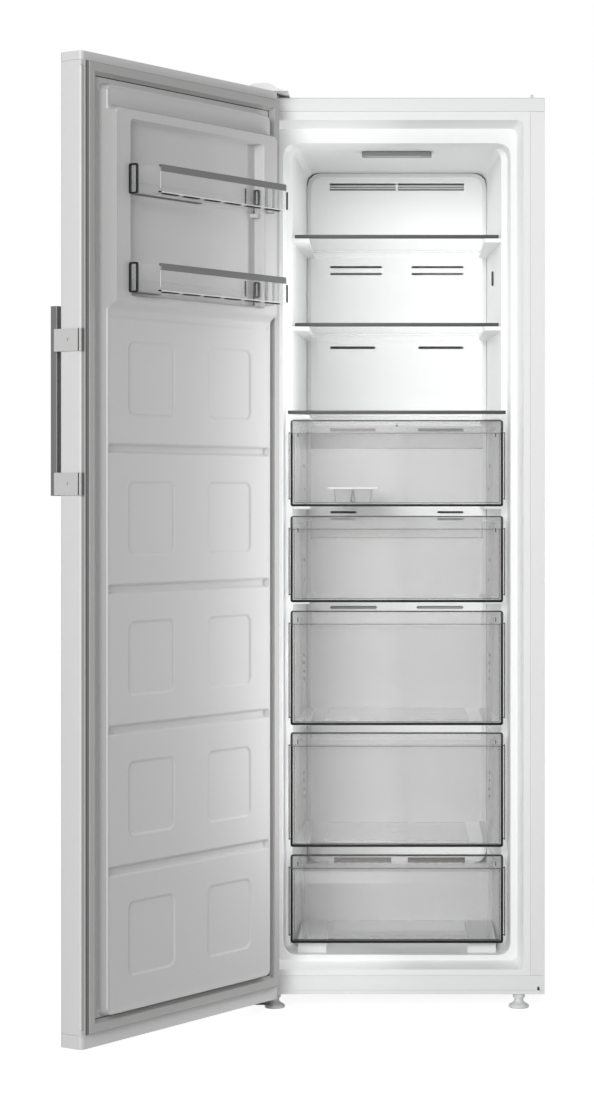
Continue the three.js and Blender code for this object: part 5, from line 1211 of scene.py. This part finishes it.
@dataclass
class Cabinet:
    """Casing, liner, trims, back panel and what is behind it.

    Attributes:
        skirt_ends: how far the strip under the hinge cover stays inside the cover's two ends.
        skirt_depth: its front and back.
        skirt_rise: its bottom and top above the cover's bottom.
    """

    skirt_ends: Ends = (1.0, 24.0)
    skirt_depth: Ends = (0.6, 1.8)
    skirt_rise: Ends = (0.1, 4.0)

    def build(self, shop: Workshop) -> None:
        """Dresses the cabinet's pieces.

        Args:
            shop: the workshop.
        """
        rows = (
            ("outer_shell", "casing_white", Soften(0.4)),
            ("rear_panel", "zinc_sheet", Soften(0.3)),
            ("base_plate", "zinc_sheet", Soften(0.4)),
            ("insulation_foam", "foam_yellow", None),
            ("inner_liner", "liner_white", Soften(1.4, 3)),
            ("top_trim", "trim_white", Soften(0.8)),
            ("bottom_trim", "trim_white", Soften(0.8)),
            ("condenser_coil", "copper_tube", None),
            ("back_panel", "liner_white", Soften(0.6)),
            ("evaporator", "fin_aluminium", None),
            ("evaporator_fan", "dark_plastic", Soften(0.3)),
            ("fan_motor", "dark_plastic", Soften(0.5)),
            ("drain_tube", "dark_plastic", Soften(0.3)),
            ("compressor", "black_lacquer", Soften(1.0, 2, 40.0)),
            ("terminal_cover", "dark_plastic", Soften(1.0)),
            ("drip_tray", "dark_plastic", Soften(0.6)),
            ("lamp_housing", "lamp_grey", Soften(0.6)),
            ("lamp_lens", "lamp_frost", Soften(0.4)),
            ("sensor_cover", "dark_plastic", Soften(0.3)),
            ("top_hinge", "casing_white", Soften(0.4)),
            ("hinge_cover", "trim_white", Soften(1.0, 3)),
            ("bottom_hinge", "black_lacquer", Soften(0.4)),
            ("top_plug", "trim_white", Soften(0.3)),
        )
        shop.dress(rows)
        low, high = shop.extent("hinge_cover")
        across = (low.x + self.skirt_ends[0], high.x - self.skirt_ends[1])
        skirt = Solid().bar(across, self.skirt_depth, off(low.z, self.skirt_rise))
        shop.piece("hinge_skirt", skirt, "hinge_cover", ["trim_white"], soften=Soften(0.3))


@dataclass
class Foot:
    """A levelling foot with a rounded sole and a waisted neck.

    Attributes:
        sole: how much wider than the radius the sole is, with heights.
        waist: shares of the radius, with heights.
        neck: radii, with heights.
    """

    node: str
    x: float
    y: float
    radius: float
    sole: Pairs = ((-4.0, 0.0), (-1.5, 0.4), (-0.3, 1.8), (0.0, 3.6), (-0.5, 5.4), (-2.0, 7.0))
    waist: Pairs = ((0.72, 9.0), (0.55, 11.2))
    neck: Pairs = (
        (9.6, 13.6), (9.0, 16.0), (9.0, 19.6), (9.6, 20.4),
        (11.6, 21.0), (12.0, 21.8), (12.0, 28.9), (11.4, 29.7),
    )  # fmt: skip

    def build(self, shop: Workshop) -> None:
        """Turns the foot.

        Args:
            shop: the workshop.
        """
        profile = [(self.radius + more, z) for more, z in self.sole]
        profile += [(self.radius * share, z) for share, z in self.waist]
        solid = Solid().turned([*profile, *self.neck], self.x, self.y)
        shop.piece(f"{self.node}_look", solid, self.node, ["foot_grey"], replaces=True)


@dataclass
class BackDetails:
    """Parts at the back panel: slot backs, the lower grille, painted shade of the slots, its screw and the
    lower trim's screw.

    Attributes:
        back_half: how far the slots reach from the middle.
        backs: for each row of slots the material slot, inner end, bottom and top of its back; the dark back of
            the middle row is painted shade.
        back_before: how far before the cold unit the backs start and end.
        plate: half width, bottom and top of the grille's plate.
        plate_radius: radius of its corners.
        air_across: inner and outer end of the brown plates of painted shade in the grille's slots.
        air_shift: how far they are moved to the right.
        air_up: their bottom and top.
        wave: height and run of the waves of their lower edge.
        upper_slots: inner end, bottom and top of the dark bars above, painted shade of the slots there.
        plate_depth: the plate's two faces from the panel's front, as in air_depth and upper_depth.
        panel_screw: place across, height and radius, as in trim_screw.
        screw_rim: rings of a screw's head, as how much narrower they are and how deep they lie.
    """

    back_half: float = 152.0
    backs: tuple[tuple[int, float, float, float], ...] = (
        (0, 0.0, 1696.0, 1716.0),
        # a dark back: painted shade behind the slots above the top drawer
        (1, 44.0, 1172.0, 1186.0),
        (0, 40.0, 780.0, 799.0),
    )
    back_before: Ends = (5.0, 3.5)
    plate: Sizes = (150.0, 226.5, 261.5)
    plate_radius: float = 4.0
    plate_depth: Ends = (0.2, 1.4)
    air_across: Ends = (18.0, 143.0)
    air_shift: float = 6.0
    air_up: Ends = (229.0, 241.5)
    air_depth: Ends = (-0.3, 0.8)
    wave: Sizes = (1.6, 6.5)
    wave_steps: int = 32
    upper_slots: Sizes = (47.0, 1174.6, 1181.2)
    upper_margin: float = 6.0
    upper_depth: Ends = (-0.4, 0.6)
    panel_screw: Sizes = (0.0, 1187.2, 2.7)
    trim_screw: Sizes = (285.0, 40.9, 2.6)
    screw_rim: Pairs = ((0.0, 0.6), (0.0, -0.35), (0.7, -0.6))

    def slot_backs(self, panel: float) -> Solid:
        """Makes the plates behind the rows of slots; the dark ones are painted shade.

        Args:
            panel: depth of the cold unit's front.

        Returns:
            The plates.
        """
        solid = Solid()
        depth = [panel - before for before in self.back_before]
        for slot, inner, low, high in self.backs:
            for way in SIDES:
                solid.use(slot).bar(span(way, inner, self.back_half), depth, (low, high))
        return solid

    def grille(self, front: float) -> Solid:
        """Makes the lower grille and the dark bars above it, with painted shade of the slots.

        Args:
            front: depth of the panel's front.

        Returns:
            The grille, with the brown painted shade of its slots in the second slot and the dark bars of
            painted shade in the third.
        """
        half, bottom, top = self.plate
        outline = arc_corners(rectangle(-half, half, bottom, top), self.plate_radius, 4)
        air = Solid().prism(outline, "y", *off(front, self.plate_depth))
        low, high = self.air_up
        height, run = self.wave
        inner, dark_low, dark_high = self.upper_slots
        for way in SIDES:
            x0, x1 = sorted(self.air_shift + way * reach for reach in self.air_across)
            steps = [x0 + (x1 - x0) * k / self.wave_steps for k in range(self.wave_steps + 1)]
            lower = [(x, low + height * math.sin((x - x0) / run) ** 2) for x in steps]
            air.use(1).prism([*lower, (x1, high), (x0, high)], "y", *off(front, self.air_depth))
            dark = span(way, inner, self.back_half - self.upper_margin)
            air.use(2).bar(dark, off(front, self.upper_depth), (dark_low, dark_high))
        return air

    def build(self, shop: Workshop) -> None:
        """Makes the slot backs, the grille and the two screws.

        Args:
            shop: the workshop.
        """
        panel = shop.extent("evaporator")[0].y
        front = shop.extent("back_panel")[0].y
        shop.piece("slot_backs", self.slot_backs(panel), "back_panel", ["louvre_grey", "dark_plastic"])
        finishes = ["liner_white", "vent_shade", "slot_shade"]
        shop.piece("air_grille", self.grille(front), "back_panel", finishes)
        for name, node, (x, z, radius), at in (
            ("trim_screw", "bottom_trim", self.trim_screw, 0.0),
            ("panel_screw", "back_panel", self.panel_screw, front + self.plate_depth[0]),
        ):
            rings = [(radius - less, at + y) for less, y in self.screw_rim]
            head = [[(x + r * math.cos(t), y, z + r * math.sin(t)) for t in TURN] for r, y in rings]
            shop.piece(name, Solid().loft(head), node, ["dark_plastic"])


@dataclass
class Shelves:
    """Glass shelves with their trims."""

    count: int = 3

    def build(self, shop: Workshop) -> None:
        """Dresses the shelves.

        Args:
            shop: the workshop.
        """
        for n in range(1, self.count + 1):
            rows = (
                (f"shelf_{n}_glass", "shelf_glass", Soften(0.5)),
                (f"shelf_{n}_front_trim", "shelf_trim_grey", Soften(0.4)),
                (f"shelf_{n}_rear_trim", "tub_plate", Soften(0.4)),
            )
            shop.dress(rows)


@dataclass
class Drawer:
    """One clear drawer: front with a grip, tub, dark edges, strips of painted shadow beside the front, stops, a
    plate on its floor and grey sheets of painted shade on its rear wall.

    Attributes:
        number: its number from the top.
        ticks: distances of the stops on its side walls below its top edge.
        plated: True where a plate lies on its floor.
        shade_sheets: grey clear sheets on its rear wall that paint the shade falling there under the shelf
            above.
        shade_sheet_height: how far a sheet reaches below the tub's top.
        shade_sheet_depth: back and front of the first sheet, before the tub's back.
        shade_sheet_pitch: distance from sheet to sheet.
        edge: width of the dark outline at its sides, bottom and top.
        line: widths of the thin line, which lies line_inset inside the front's edge.
        corner: radius of the outline's corners, never less than least_corner outside and least_hole inside.
        grip: how far the thin line ends below the front's top.
        setback: how far the face lies behind the grip's front.
        side_shadow: how far outside the front the dark strips beside it start and end; they are painted shadow
            in the gap to the cabinet's wall.
        side_shadow_ends: how far the strips stay inside the front's bottom and top.
        foot: how far outside the front the short bars at the strips' ends start and end.
        rim: width of the tub's rim; draft is how much its walls lean in towards the floor.
        narrowing: how much the tub narrows at each side per millimetre of depth.
        low_tick: a stop no further down than this stands near the front and is higher.
        plate_margin: distance from the plate's back to the tub's.
        dash_share: half a dash as a share of the distance from dash to dash.
    """

    number: int
    ticks: tuple[float, ...]
    plated: bool
    shade_sheets: int = 0
    shade_sheet_height: float = 49.0
    shade_sheet_half: float = 187.0
    shade_sheet_depth: Ends = (3.4, 2.2)
    shade_sheet_pitch: float = 4.0
    shade_sheet_below: float = 1.0
    shade_sheet_line: Ends = (-0.9, 0.3)
    shade_sheet_line_depth: Ends = (-3.6, -2.0)
    edge: Sizes = (4.2, 4.6, 1.9)
    edge_inset: float = 0.15
    edge_depth: Ends = (-0.25, 15.35)
    line: Sizes = (0.9, 0.9, 0.0)
    line_inset: float = 7.4
    line_depth: Ends = (-0.15, 1.05)
    corner: float = 4.6
    least_corner: float = 1.5
    least_hole: float = 0.8
    grip: float = 27.0
    grip_margin: float = 3.0
    grip_line: Ends = (-0.3, 0.9)
    grip_depth: Ends = (-0.1, 1.4)
    setback: float = 4.0
    side_shadow: Ends = (1.8, 4.0)
    rib_depth: Ends = (5.0, 12.0)
    side_shadow_ends: Ends = (14.0, 24.0)
    foot: Ends = (-1.0, 2.3)
    foot_depth: Ends = (6.0, 11.0)
    foot_margins: Ends = (1.0, 3.0)
    foot_height: float = 1.6
    wall: float = 2.2
    rim: float = 3.5
    draft: float = 5.0
    narrowing: float = 12.0 / 374.0
    side_play: float = 5.0
    floor_rise: float = 1.9
    wall_foot: float = 20.0
    front_above_tub: float = 14.0
    low_tick: float = 45.0
    tick_depth: float = 250.0
    low_tick_depth: float = 92.0
    low_tick_height: float = 8.0
    tick_height: float = 5.0
    tick_width: float = 2.2
    tick_across: Ends = (-1.6, 0.9)
    plate_half: float = 148.0
    plate_front: float = 78.0
    plate_margin: float = 48.0
    plate_lift: float = 0.6
    plate_rise: float = 3.4
    plate_radius: float = 6.0
    plate_taper: Sizes = (0.985, 0.99, 2.0)
    dashes: int = 5
    dash_up: Ends = (-0.6, 0.3)
    dash_share: float = 0.38
    dash_width: float = 2.4
    dash_margins: Ends = (6.0, 8.0)

    def front(self, shop: Workshop) -> None:
        """Makes the front.

        Args:
            shop: the workshop.
        """

        def side(face: bpy.types.MeshPolygon) -> int:
            """Picks the darker slot for walls that are seen along their depth."""
            return int(abs(face.normal.y) < STEEP)

        shop.from_node(f"drawer_{self.number}_front", ["drawer_clear", "drawer_side"], None, side)

    def edges(self, shop: Workshop) -> None:
        """Makes the dark outline, the thin line inside it, the strips of painted shadow beside it and the
        grip's line.

        Args:
            shop: the workshop.
        """
        node = f"drawer_{self.number}_front"
        low, high = shop.extent(node)
        half = (high.x - low.x) / 2
        face = low.y + self.setback
        grip = high.z - self.grip
        solid = Solid()
        for slot, inset, top_z, (side, bottom, top), depth in (
            (0, self.edge_inset, high.z - self.edge_inset, self.edge, self.edge_depth),
            (1, self.line_inset, grip, self.line, self.line_depth),
        ):
            radius = max(self.corner - inset, self.least_corner)
            outer = rectangle(-half + inset, half - inset, low.z + inset, top_z)
            inner = rectangle(-half + inset + side, half - inset - side, low.z + inset + bottom, top_z - top)
            hole = arc_corners(inner, max(radius - side, self.least_hole), 5)
            solid.use(slot).ring(arc_corners(outer, radius, 5), hole, "y", *off(face, depth))
        # dark strips outside the front's sides, with short bars at their ends: painted shadow in the gap
        # between the drawer and the cabinet's wall
        bottom, top = self.side_shadow_ends
        for way in SIDES:
            side_shadow, foot = span(way, *off(half, self.side_shadow)), span(way, *off(half, self.foot))
            solid.use(1).bar(side_shadow, off(face, self.rib_depth), (low.z + bottom, high.z - top))
            for z in (low.z + bottom + self.foot_margins[0], high.z - top - self.foot_margins[1]):
                solid.bar(foot, off(face, self.foot_depth), (z, z + self.foot_height))
        across = (-half + self.grip_margin, half - self.grip_margin)
        solid.bar(across, off(low.y, self.grip_depth), off(grip, self.grip_line))
        finishes = ["edge_black", "drawer_line"]
        shop.piece(f"drawer_{self.number}_edges", solid, node, finishes, soften=Soften(0.3))

    def stops(self, solid: Solid, low: Vector, high: Vector, floor: float) -> None:
        """Adds the stops on the side walls.

        Args:
            solid: the mesh in the making.
            low: the tub's lowest corner.
            high: its highest corner.
            floor: height of its floor.
        """
        half = (high.x - low.x) / 2 - self.side_play
        for drop in self.ticks:
            z = high.z + self.front_above_tub - drop
            deep, tall = self.tick_depth, self.tick_height
            if drop <= self.low_tick:
                deep, tall = self.low_tick_depth, self.low_tick_height
            share = (z - floor) / (high.z - low.z)
            narrowing = self.draft * (1 - share) + (deep - low.y) * self.narrowing
            wall = half - self.rim - self.wall - narrowing
            for way in SIDES:
                across = span(way, *off(wall, self.tick_across))
                solid.use(0).bar(across, (deep, deep + self.tick_width), (z - tall, z))

    def plate(self, solid: Solid, back: float, floor: float) -> None:
        """Adds the plate on the floor, with dashes along its front and back.

        Args:
            solid: the mesh in the making.
            back: depth of the plate's back.
            floor: height of the tub's floor.
        """
        low = floor + self.plate_lift
        high = low + self.plate_rise
        corners = rectangle(-self.plate_half, self.plate_half, self.plate_front, back)
        outline = arc_corners(corners, self.plate_radius, 4)
        taper_x, taper_y, back_by = self.plate_taper
        top = [(x * taper_x, y * taper_y + back_by, high) for x, y in outline]
        solid.use(1).loft([[(x, y, low) for x, y in outline], top])
        pitch = 2 * self.plate_half / self.dashes
        before, behind = self.dash_margins
        for k in range(self.dashes):
            x, half = pitch * (k - (self.dashes - 1) / 2), pitch * self.dash_share
            for y in (self.plate_front + before, back - behind):
                solid.use(2).bar((x - half, x + half), (y, y + self.dash_width), off(high, self.dash_up))

    def fittings(self, shop: Workshop) -> None:
        """Makes the tub and what it carries.

        Args:
            shop: the workshop.
        """
        node = f"drawer_{self.number}_tub"
        low, high = shop.extent(node)
        floor = low.z + self.floor_rise + self.wall
        turn = shop.place.matrix(Space.CABINET).inverted()

        def top(face: bpy.types.MeshPolygon) -> int:
            """Picks the darker slot for the narrow upper edges of the walls."""
            return int(face.normal.z > SQUARE_ON and (turn @ face.center).z > floor + self.wall_foot)

        shop.from_node(node, ["tub_clear", "drawer_side"], None, top)
        solid = Solid()
        self.stops(solid, low, high, floor)
        if self.plated:
            self.plate(solid, high.y - self.plate_margin, floor)
        # grey clear sheets on the rear wall with a dark line at their foot: painted shade of the band under the
        # shelf above
        across, z = (-self.shade_sheet_half, self.shade_sheet_half), high.z - self.shade_sheet_height
        for k in range(self.shade_sheets):
            depth = [high.y - before - self.shade_sheet_pitch * k for before in self.shade_sheet_depth]
            solid.use(3).bar(across, depth, (z, high.z - self.shade_sheet_below))
            solid.use(0).bar(across, off(high.y, self.shade_sheet_line_depth), off(z, self.shade_sheet_line))
        finishes = ["drawer_line", "tub_plate", "rack_edge", "tub_flap"]
        shop.piece(f"drawer_{self.number}_fittings", solid, node, finishes)

    def build(self, shop: Workshop) -> None:
        """Builds the drawer.

        Args:
            shop: the workshop.
        """
        self.front(shop)
        self.edges(shop)
        self.fittings(shop)


@dataclass
class IceTray:
    """The ice tray with painted shade of a pull notch on its front.

    Attributes:
        notch: half width of the notch at its top.
        lean: its half width at its foot.
        rim: height of the rim, which keeps the tray's white while the body below it takes a darker white of
            painted shade.
        foot: how far the notch starts above the tray's bottom.
        head: how far it ends below its top.
        depth: its two faces from the tray's front.
        hole_low: ends of the hole in it at its foot; hole_high is the same at its head.
    """

    notch: float = 1.8
    lean: float = 5.4
    rim: float = 7.0
    foot: float = 1.5
    head: float = 5.0
    depth: Ends = (2.0, 7.0)
    hole_low: Ends = (-1.2, 3.0)
    hole_high: Ends = (0.5, -0.2)
    hole_foot: float = 2.0
    hole_head: float = 9.0

    def build(self, shop: Workshop) -> None:
        """Dresses the tray and lays the notch's painted shade on its front.

        Args:
            shop: the workshop.
        """
        low, high = shop.extent("ice_tray")
        turn = shop.place.matrix(Space.CABINET).inverted()

        def rim(face: bpy.types.MeshPolygon) -> int:
            """Picks the paler slot for the wide rim."""
            return int((turn @ face.center).z > high.z - self.rim)

        shop.from_node("ice_tray", ["ice_tray_white", "ice_rim_white"], Soften(0.8), rim)
        # a dark frame on the tray's front: painted shade of the pull notch's walls
        x, foot, head = (low.x + high.x) / 2, low.z + self.foot, high.z - self.head
        shape = [(x - self.lean, foot), (x + self.lean, foot), (x + self.notch, head), (x - self.notch, head)]
        hole = [(x + across, foot + self.hole_foot) for across in self.hole_low]
        hole += [(x + across, head - self.hole_head) for across in self.hole_high]
        notch = Solid().ring(shape, hole, "y", *off(low.y, self.depth))
        shop.piece("ice_tray_notch_shade", notch, "ice_tray", ["dark_plastic"])


@dataclass
class Rack:
    """A clear rack on the door with dark edges, a band and clips.

    Attributes:
        name: upper or lower.
        ribs: fine ribs under its free end.
        half: half its width.
        basket_half: half the width of its bin.
        shoulder: height of the dyke that its ends lie on.
        front: height of its front above the door's plane.
        plate: height of the door liner behind it.
        clip_across: how far the end outlines reach in and out of its ends.
        hook_across: ends of the small outline on the hinge's side; the pairs in _up count from the top.
        upright: ends of the line along the front's left corner, from the corner and from the face.
        painted_glint: the same for the pale line along its right corner, a painted highlight.
        edge_face: area in square metres below which a face counts as an edge.
        clip_rise: how far the outlines at its ends rise above its top.
        band: height of the band.
        slots: dark slots along its bottom.
    """

    name: str
    ribs: int
    half: float = 207.0
    basket_half: float = 194.0
    shoulder: float = 37.1
    front: float = 97.0
    plate: float = 17.8
    radius: float = 16.0
    clip_rise: float = 5.0
    clip_across: Ends = (-1.6, 2.5)
    clip_depth: Ends = (0.2, 20.0)
    clip_hole: Ends = (3.6, 17.0)
    clip_foot: Ends = (-0.2, 2.8)
    clip_head: float = 3.2
    hook_across: Ends = (-196.0, -193.0)
    hook_depth: float = 13.0
    hook_up: Ends = (-34.0, -3.0)
    hook_hole: Ends = (3.4, 9.6)
    hook_hole_up: Ends = (-31.0, -6.0)
    hook_line: Ends = (-168.0, -166.2)
    hook_line_depth: Ends = (-0.3, 1.4)
    hook_line_up: Ends = (-33.0, -3.0)
    band: float = 12.0
    corner_share: float = 0.44
    upright: Pairs = ((-0.5, 2.5), (-3.3, -1.2))
    upright_foot: float = 4.0
    painted_glint: Pairs = ((-0.4, 0.5), (-0.5, 0.2))
    painted_glint_foot: float = 8.0
    rear_gap: float = 0.4
    rear_mark: float = 1.4
    rear_depth: Ends = (0.0, 1.6)
    rear_up: Ends = (1.0, 26.0)
    slots: int = 6
    slots_margin: float = 40.0
    slot_share: float = 0.34
    slot_depth: Ends = (-10.0, -2.4)
    slot_up: Ends = (-1.0, 0.9)
    end_mark: Ends = (186.0, 190.5)
    end_mark_depth: Ends = (-6.0, -1.6)
    end_mark_up: Ends = (0.8, 3.4)
    pale_start: float = -190.0
    pale_depth: Ends = (-3.4, -1.4)
    pale_up: Ends = (1.2, 3.0)
    rib_margin: float = 8.0
    rib_pitch: float = 5.6
    rib_half: float = 1.1
    rib_depth: Ends = (2.0, 16.0)
    rib_up: Ends = (-1.5, 0.3)
    edge_face: float = 0.006

    def clips(self, solid: Solid, bottom: float, top: float) -> None:
        """Adds the dark outlines of the clips at both ends.

        Args:
            solid: the mesh in the making.
            bottom: height of the rack's bottom.
            top: height of its top.
        """
        shoulder, rise = DOOR_PLANE + self.shoulder, top + self.clip_rise
        outer = rectangle(*off(shoulder, self.clip_depth), bottom + self.clip_foot[0], rise)
        inner = rectangle(*off(shoulder, self.clip_hole), bottom + self.clip_foot[1], rise - self.clip_head)
        for slot, way in ((0, 1), (2, -1)):
            across = span(way, *off(self.half, self.clip_across))
            solid.use(slot).ring(arc_corners(outer, 4.0, 5), arc_corners(inner, 2.0, 5), "x", *across)
        floor = DOOR_PLANE + self.plate
        outer = rectangle(floor, floor + self.hook_depth, *off(top, self.hook_up))
        inner = rectangle(*off(floor, self.hook_hole), *off(top, self.hook_hole_up))
        solid.use(0).ring(arc_corners(outer, 3.0, 4), arc_corners(inner, 1.4, 4), "x", *self.hook_across)
        solid.bar(self.hook_line, off(floor, self.hook_line_depth), off(top, self.hook_line_up))

    def lines(self, solid: Solid, bottom: float, top: float) -> None:
        """Adds the dark lines of the front and bottom, the slots and the ribs.

        Args:
            solid: the mesh in the making.
            bottom: height of the rack's bottom.
            top: height of its top.
        """
        face = DOOR_PLANE + self.front
        corner = -self.half + self.radius * self.corner_share
        across, depth = self.upright
        line = (bottom + self.upright_foot, top - self.band)
        solid.use(0).bar(off(corner, across), off(face, depth), line)
        rear = DOOR_PLANE + self.plate - self.rear_gap
        for way in SIDES:
            across = span(way, self.basket_half - self.rear_mark, self.basket_half)
            solid.bar(across, off(rear, self.rear_depth), off(bottom, self.rear_up))
        pitch = (2 * self.half - self.slots_margin) / self.slots
        for k in range(self.slots):
            x, half = pitch * (k - (self.slots - 1) / 2), pitch * self.slot_share
            solid.bar((x - half, x + half), off(face, self.slot_depth), off(bottom, self.slot_up))
        solid.bar(self.end_mark, off(face, self.end_mark_depth), off(bottom, self.end_mark_up))
        pale = (self.pale_start, self.end_mark[0])
        solid.use(1).bar(pale, off(face, self.pale_depth), off(bottom, self.pale_up))
        # a pale line along the right corner: painted highlight
        x, (across, depth) = self.half - self.radius, self.painted_glint
        solid.bar(off(x, across), off(face, depth), (bottom + self.painted_glint_foot, top - self.band))
        under = DOOR_PLANE + self.shoulder
        for k in range(self.ribs):
            x = self.half - self.rib_margin - k * self.rib_pitch
            across = (x - self.rib_half, x + self.rib_half)
            solid.use(3).bar(across, off(under, self.rib_depth), off(bottom, self.rib_up))

    def build(self, shop: Workshop) -> None:
        """Builds the rack.

        Args:
            shop: the workshop.
        """
        node = f"{self.name}_rack_bin"
        low, high = shop.extent(node, Space.DOOR)
        bottom, top = low.z, high.z - self.clip_rise
        along, out = shop.place.door_way((1, 0, 0)), shop.place.door_way((0, 1, 0))

        def edge(face: bpy.types.MeshPolygon) -> int:
            """Picks the greyer slot for narrow faces that look up or down."""
            flat = abs(face.normal.dot(along)) < 0.5 and abs(face.normal.dot(out)) < 0.5
            return int(flat and face.area < self.edge_face)

        shop.from_node(node, ["rack_clear", "rack_edge"], Soften(0.7), edge)
        shop.from_node(f"{self.name}_rack_band", ["rack_band_grey"], Soften(0.5))
        solid = Solid()
        self.clips(solid, bottom, top)
        self.lines(solid, bottom, top)
        finishes = ["edge_black", "trim_white", "rack_edge", "handle_grey"]
        shop.piece(f"{self.name}_rack_edges", solid, node, finishes, Space.DOOR)


def inner_face(shop: Workshop) -> Pick:
    """Gives a pick of the second slot for faces that look in from the door.

    Args:
        shop: the workshop.

    Returns:
        The pick.
    """
    inward = shop.place.door_way((0, 1, 0))
    return lambda face: int(face.normal.dot(inward) > SQUARE_ON)


@dataclass
class Handle:
    """The handle bar and its brackets, with a dark joint in each.

    Attributes:
        joint_across: the joint's two sides before the bracket's outer end.
        joint_depth: its back and front.
        joint_margin: how far it stays inside the bracket's height.
    """

    joint_across: Ends = (1.9, 0.5)
    joint_depth: Ends = (-17.85, -15.75)
    joint_margin: float = 0.1

    def build(self, shop: Workshop) -> None:
        """Dresses the handle.

        Args:
            shop: the workshop.
        """
        shop.from_node("handle_bar", ["handle_grey"], Soften(0.8, 3))
        solid = Solid()
        for name in ("lower", "upper"):
            node = f"handle_bracket_{name}"
            shop.from_node(node, ["bracket_silver", "handle_grey"], Soften(0.4), inner_face(shop))
            low, high = shop.extent(node, Space.DOOR)
            across = [high.x - before for before in self.joint_across]
            solid.bar(across, self.joint_depth, (low.z + self.joint_margin, high.z - self.joint_margin))
        shop.piece("bracket_joints", solid, "handle_bracket_lower", ["edge_black"], Space.DOOR)


@dataclass
class Door:
    """The door leaf with its liner and gasket."""

    def build(self, shop: Workshop) -> None:
        """Dresses the door.

        Args:
            shop: the workshop.
        """
        # the skin's faces that look in from the door take the second, darker white: painted shade on the fold
        # beside the gasket
        shop.from_node("door_skin", ["door_white", "door_margin"], Soften(0.3), inner_face(shop))
        shop.from_node("door_top_cap", ["door_white"], None)
        shop.from_node("door_bottom_cap", ["door_white"], None)
        shop.dress([("door_foam", "foam_yellow", None)])
        DoorLiner().build(shop)
        Gasket().build(shop)


FEET = (
    Foot("front_foot_left", -246.5, 22.0, 20.5),
    Foot("front_foot_right", 246.5, 22.0, 20.5),
    Foot("rear_foot_left", -246.5, 548.0, 16.4),
    Foot("rear_foot_right", 246.5, 548.0, 16.4),
)
DRAWERS = (
    Drawer(1, (38.0, 101.0, 150.0), False, 2),
    Drawer(2, (38.0, 104.0, 146.0), False, 1),
    Drawer(3, (29.0, 112.0, 129.0, 146.0, 162.0), True),
    Drawer(4, (32.0, 112.0, 129.0, 146.0, 162.0), True),
    Drawer(5, (33.0,), True),
)


def main() -> None:
    """Builds the freezer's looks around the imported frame."""
    logging.basicConfig(level=logging.INFO, format="%(message)s")
    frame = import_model()
    shop = Workshop(frame, Placement())
    shop.build_materials()
    Studio().build(shop)
    racks = Rack("upper", 34), Rack("lower", 12)
    for assembly in (Cabinet(), BackDetails(), *FEET, Shelves(), *DRAWERS, IceTray(), Door(), Handle(), *racks):
        assembly.build(shop)


if __name__ == "__main__":
    main()
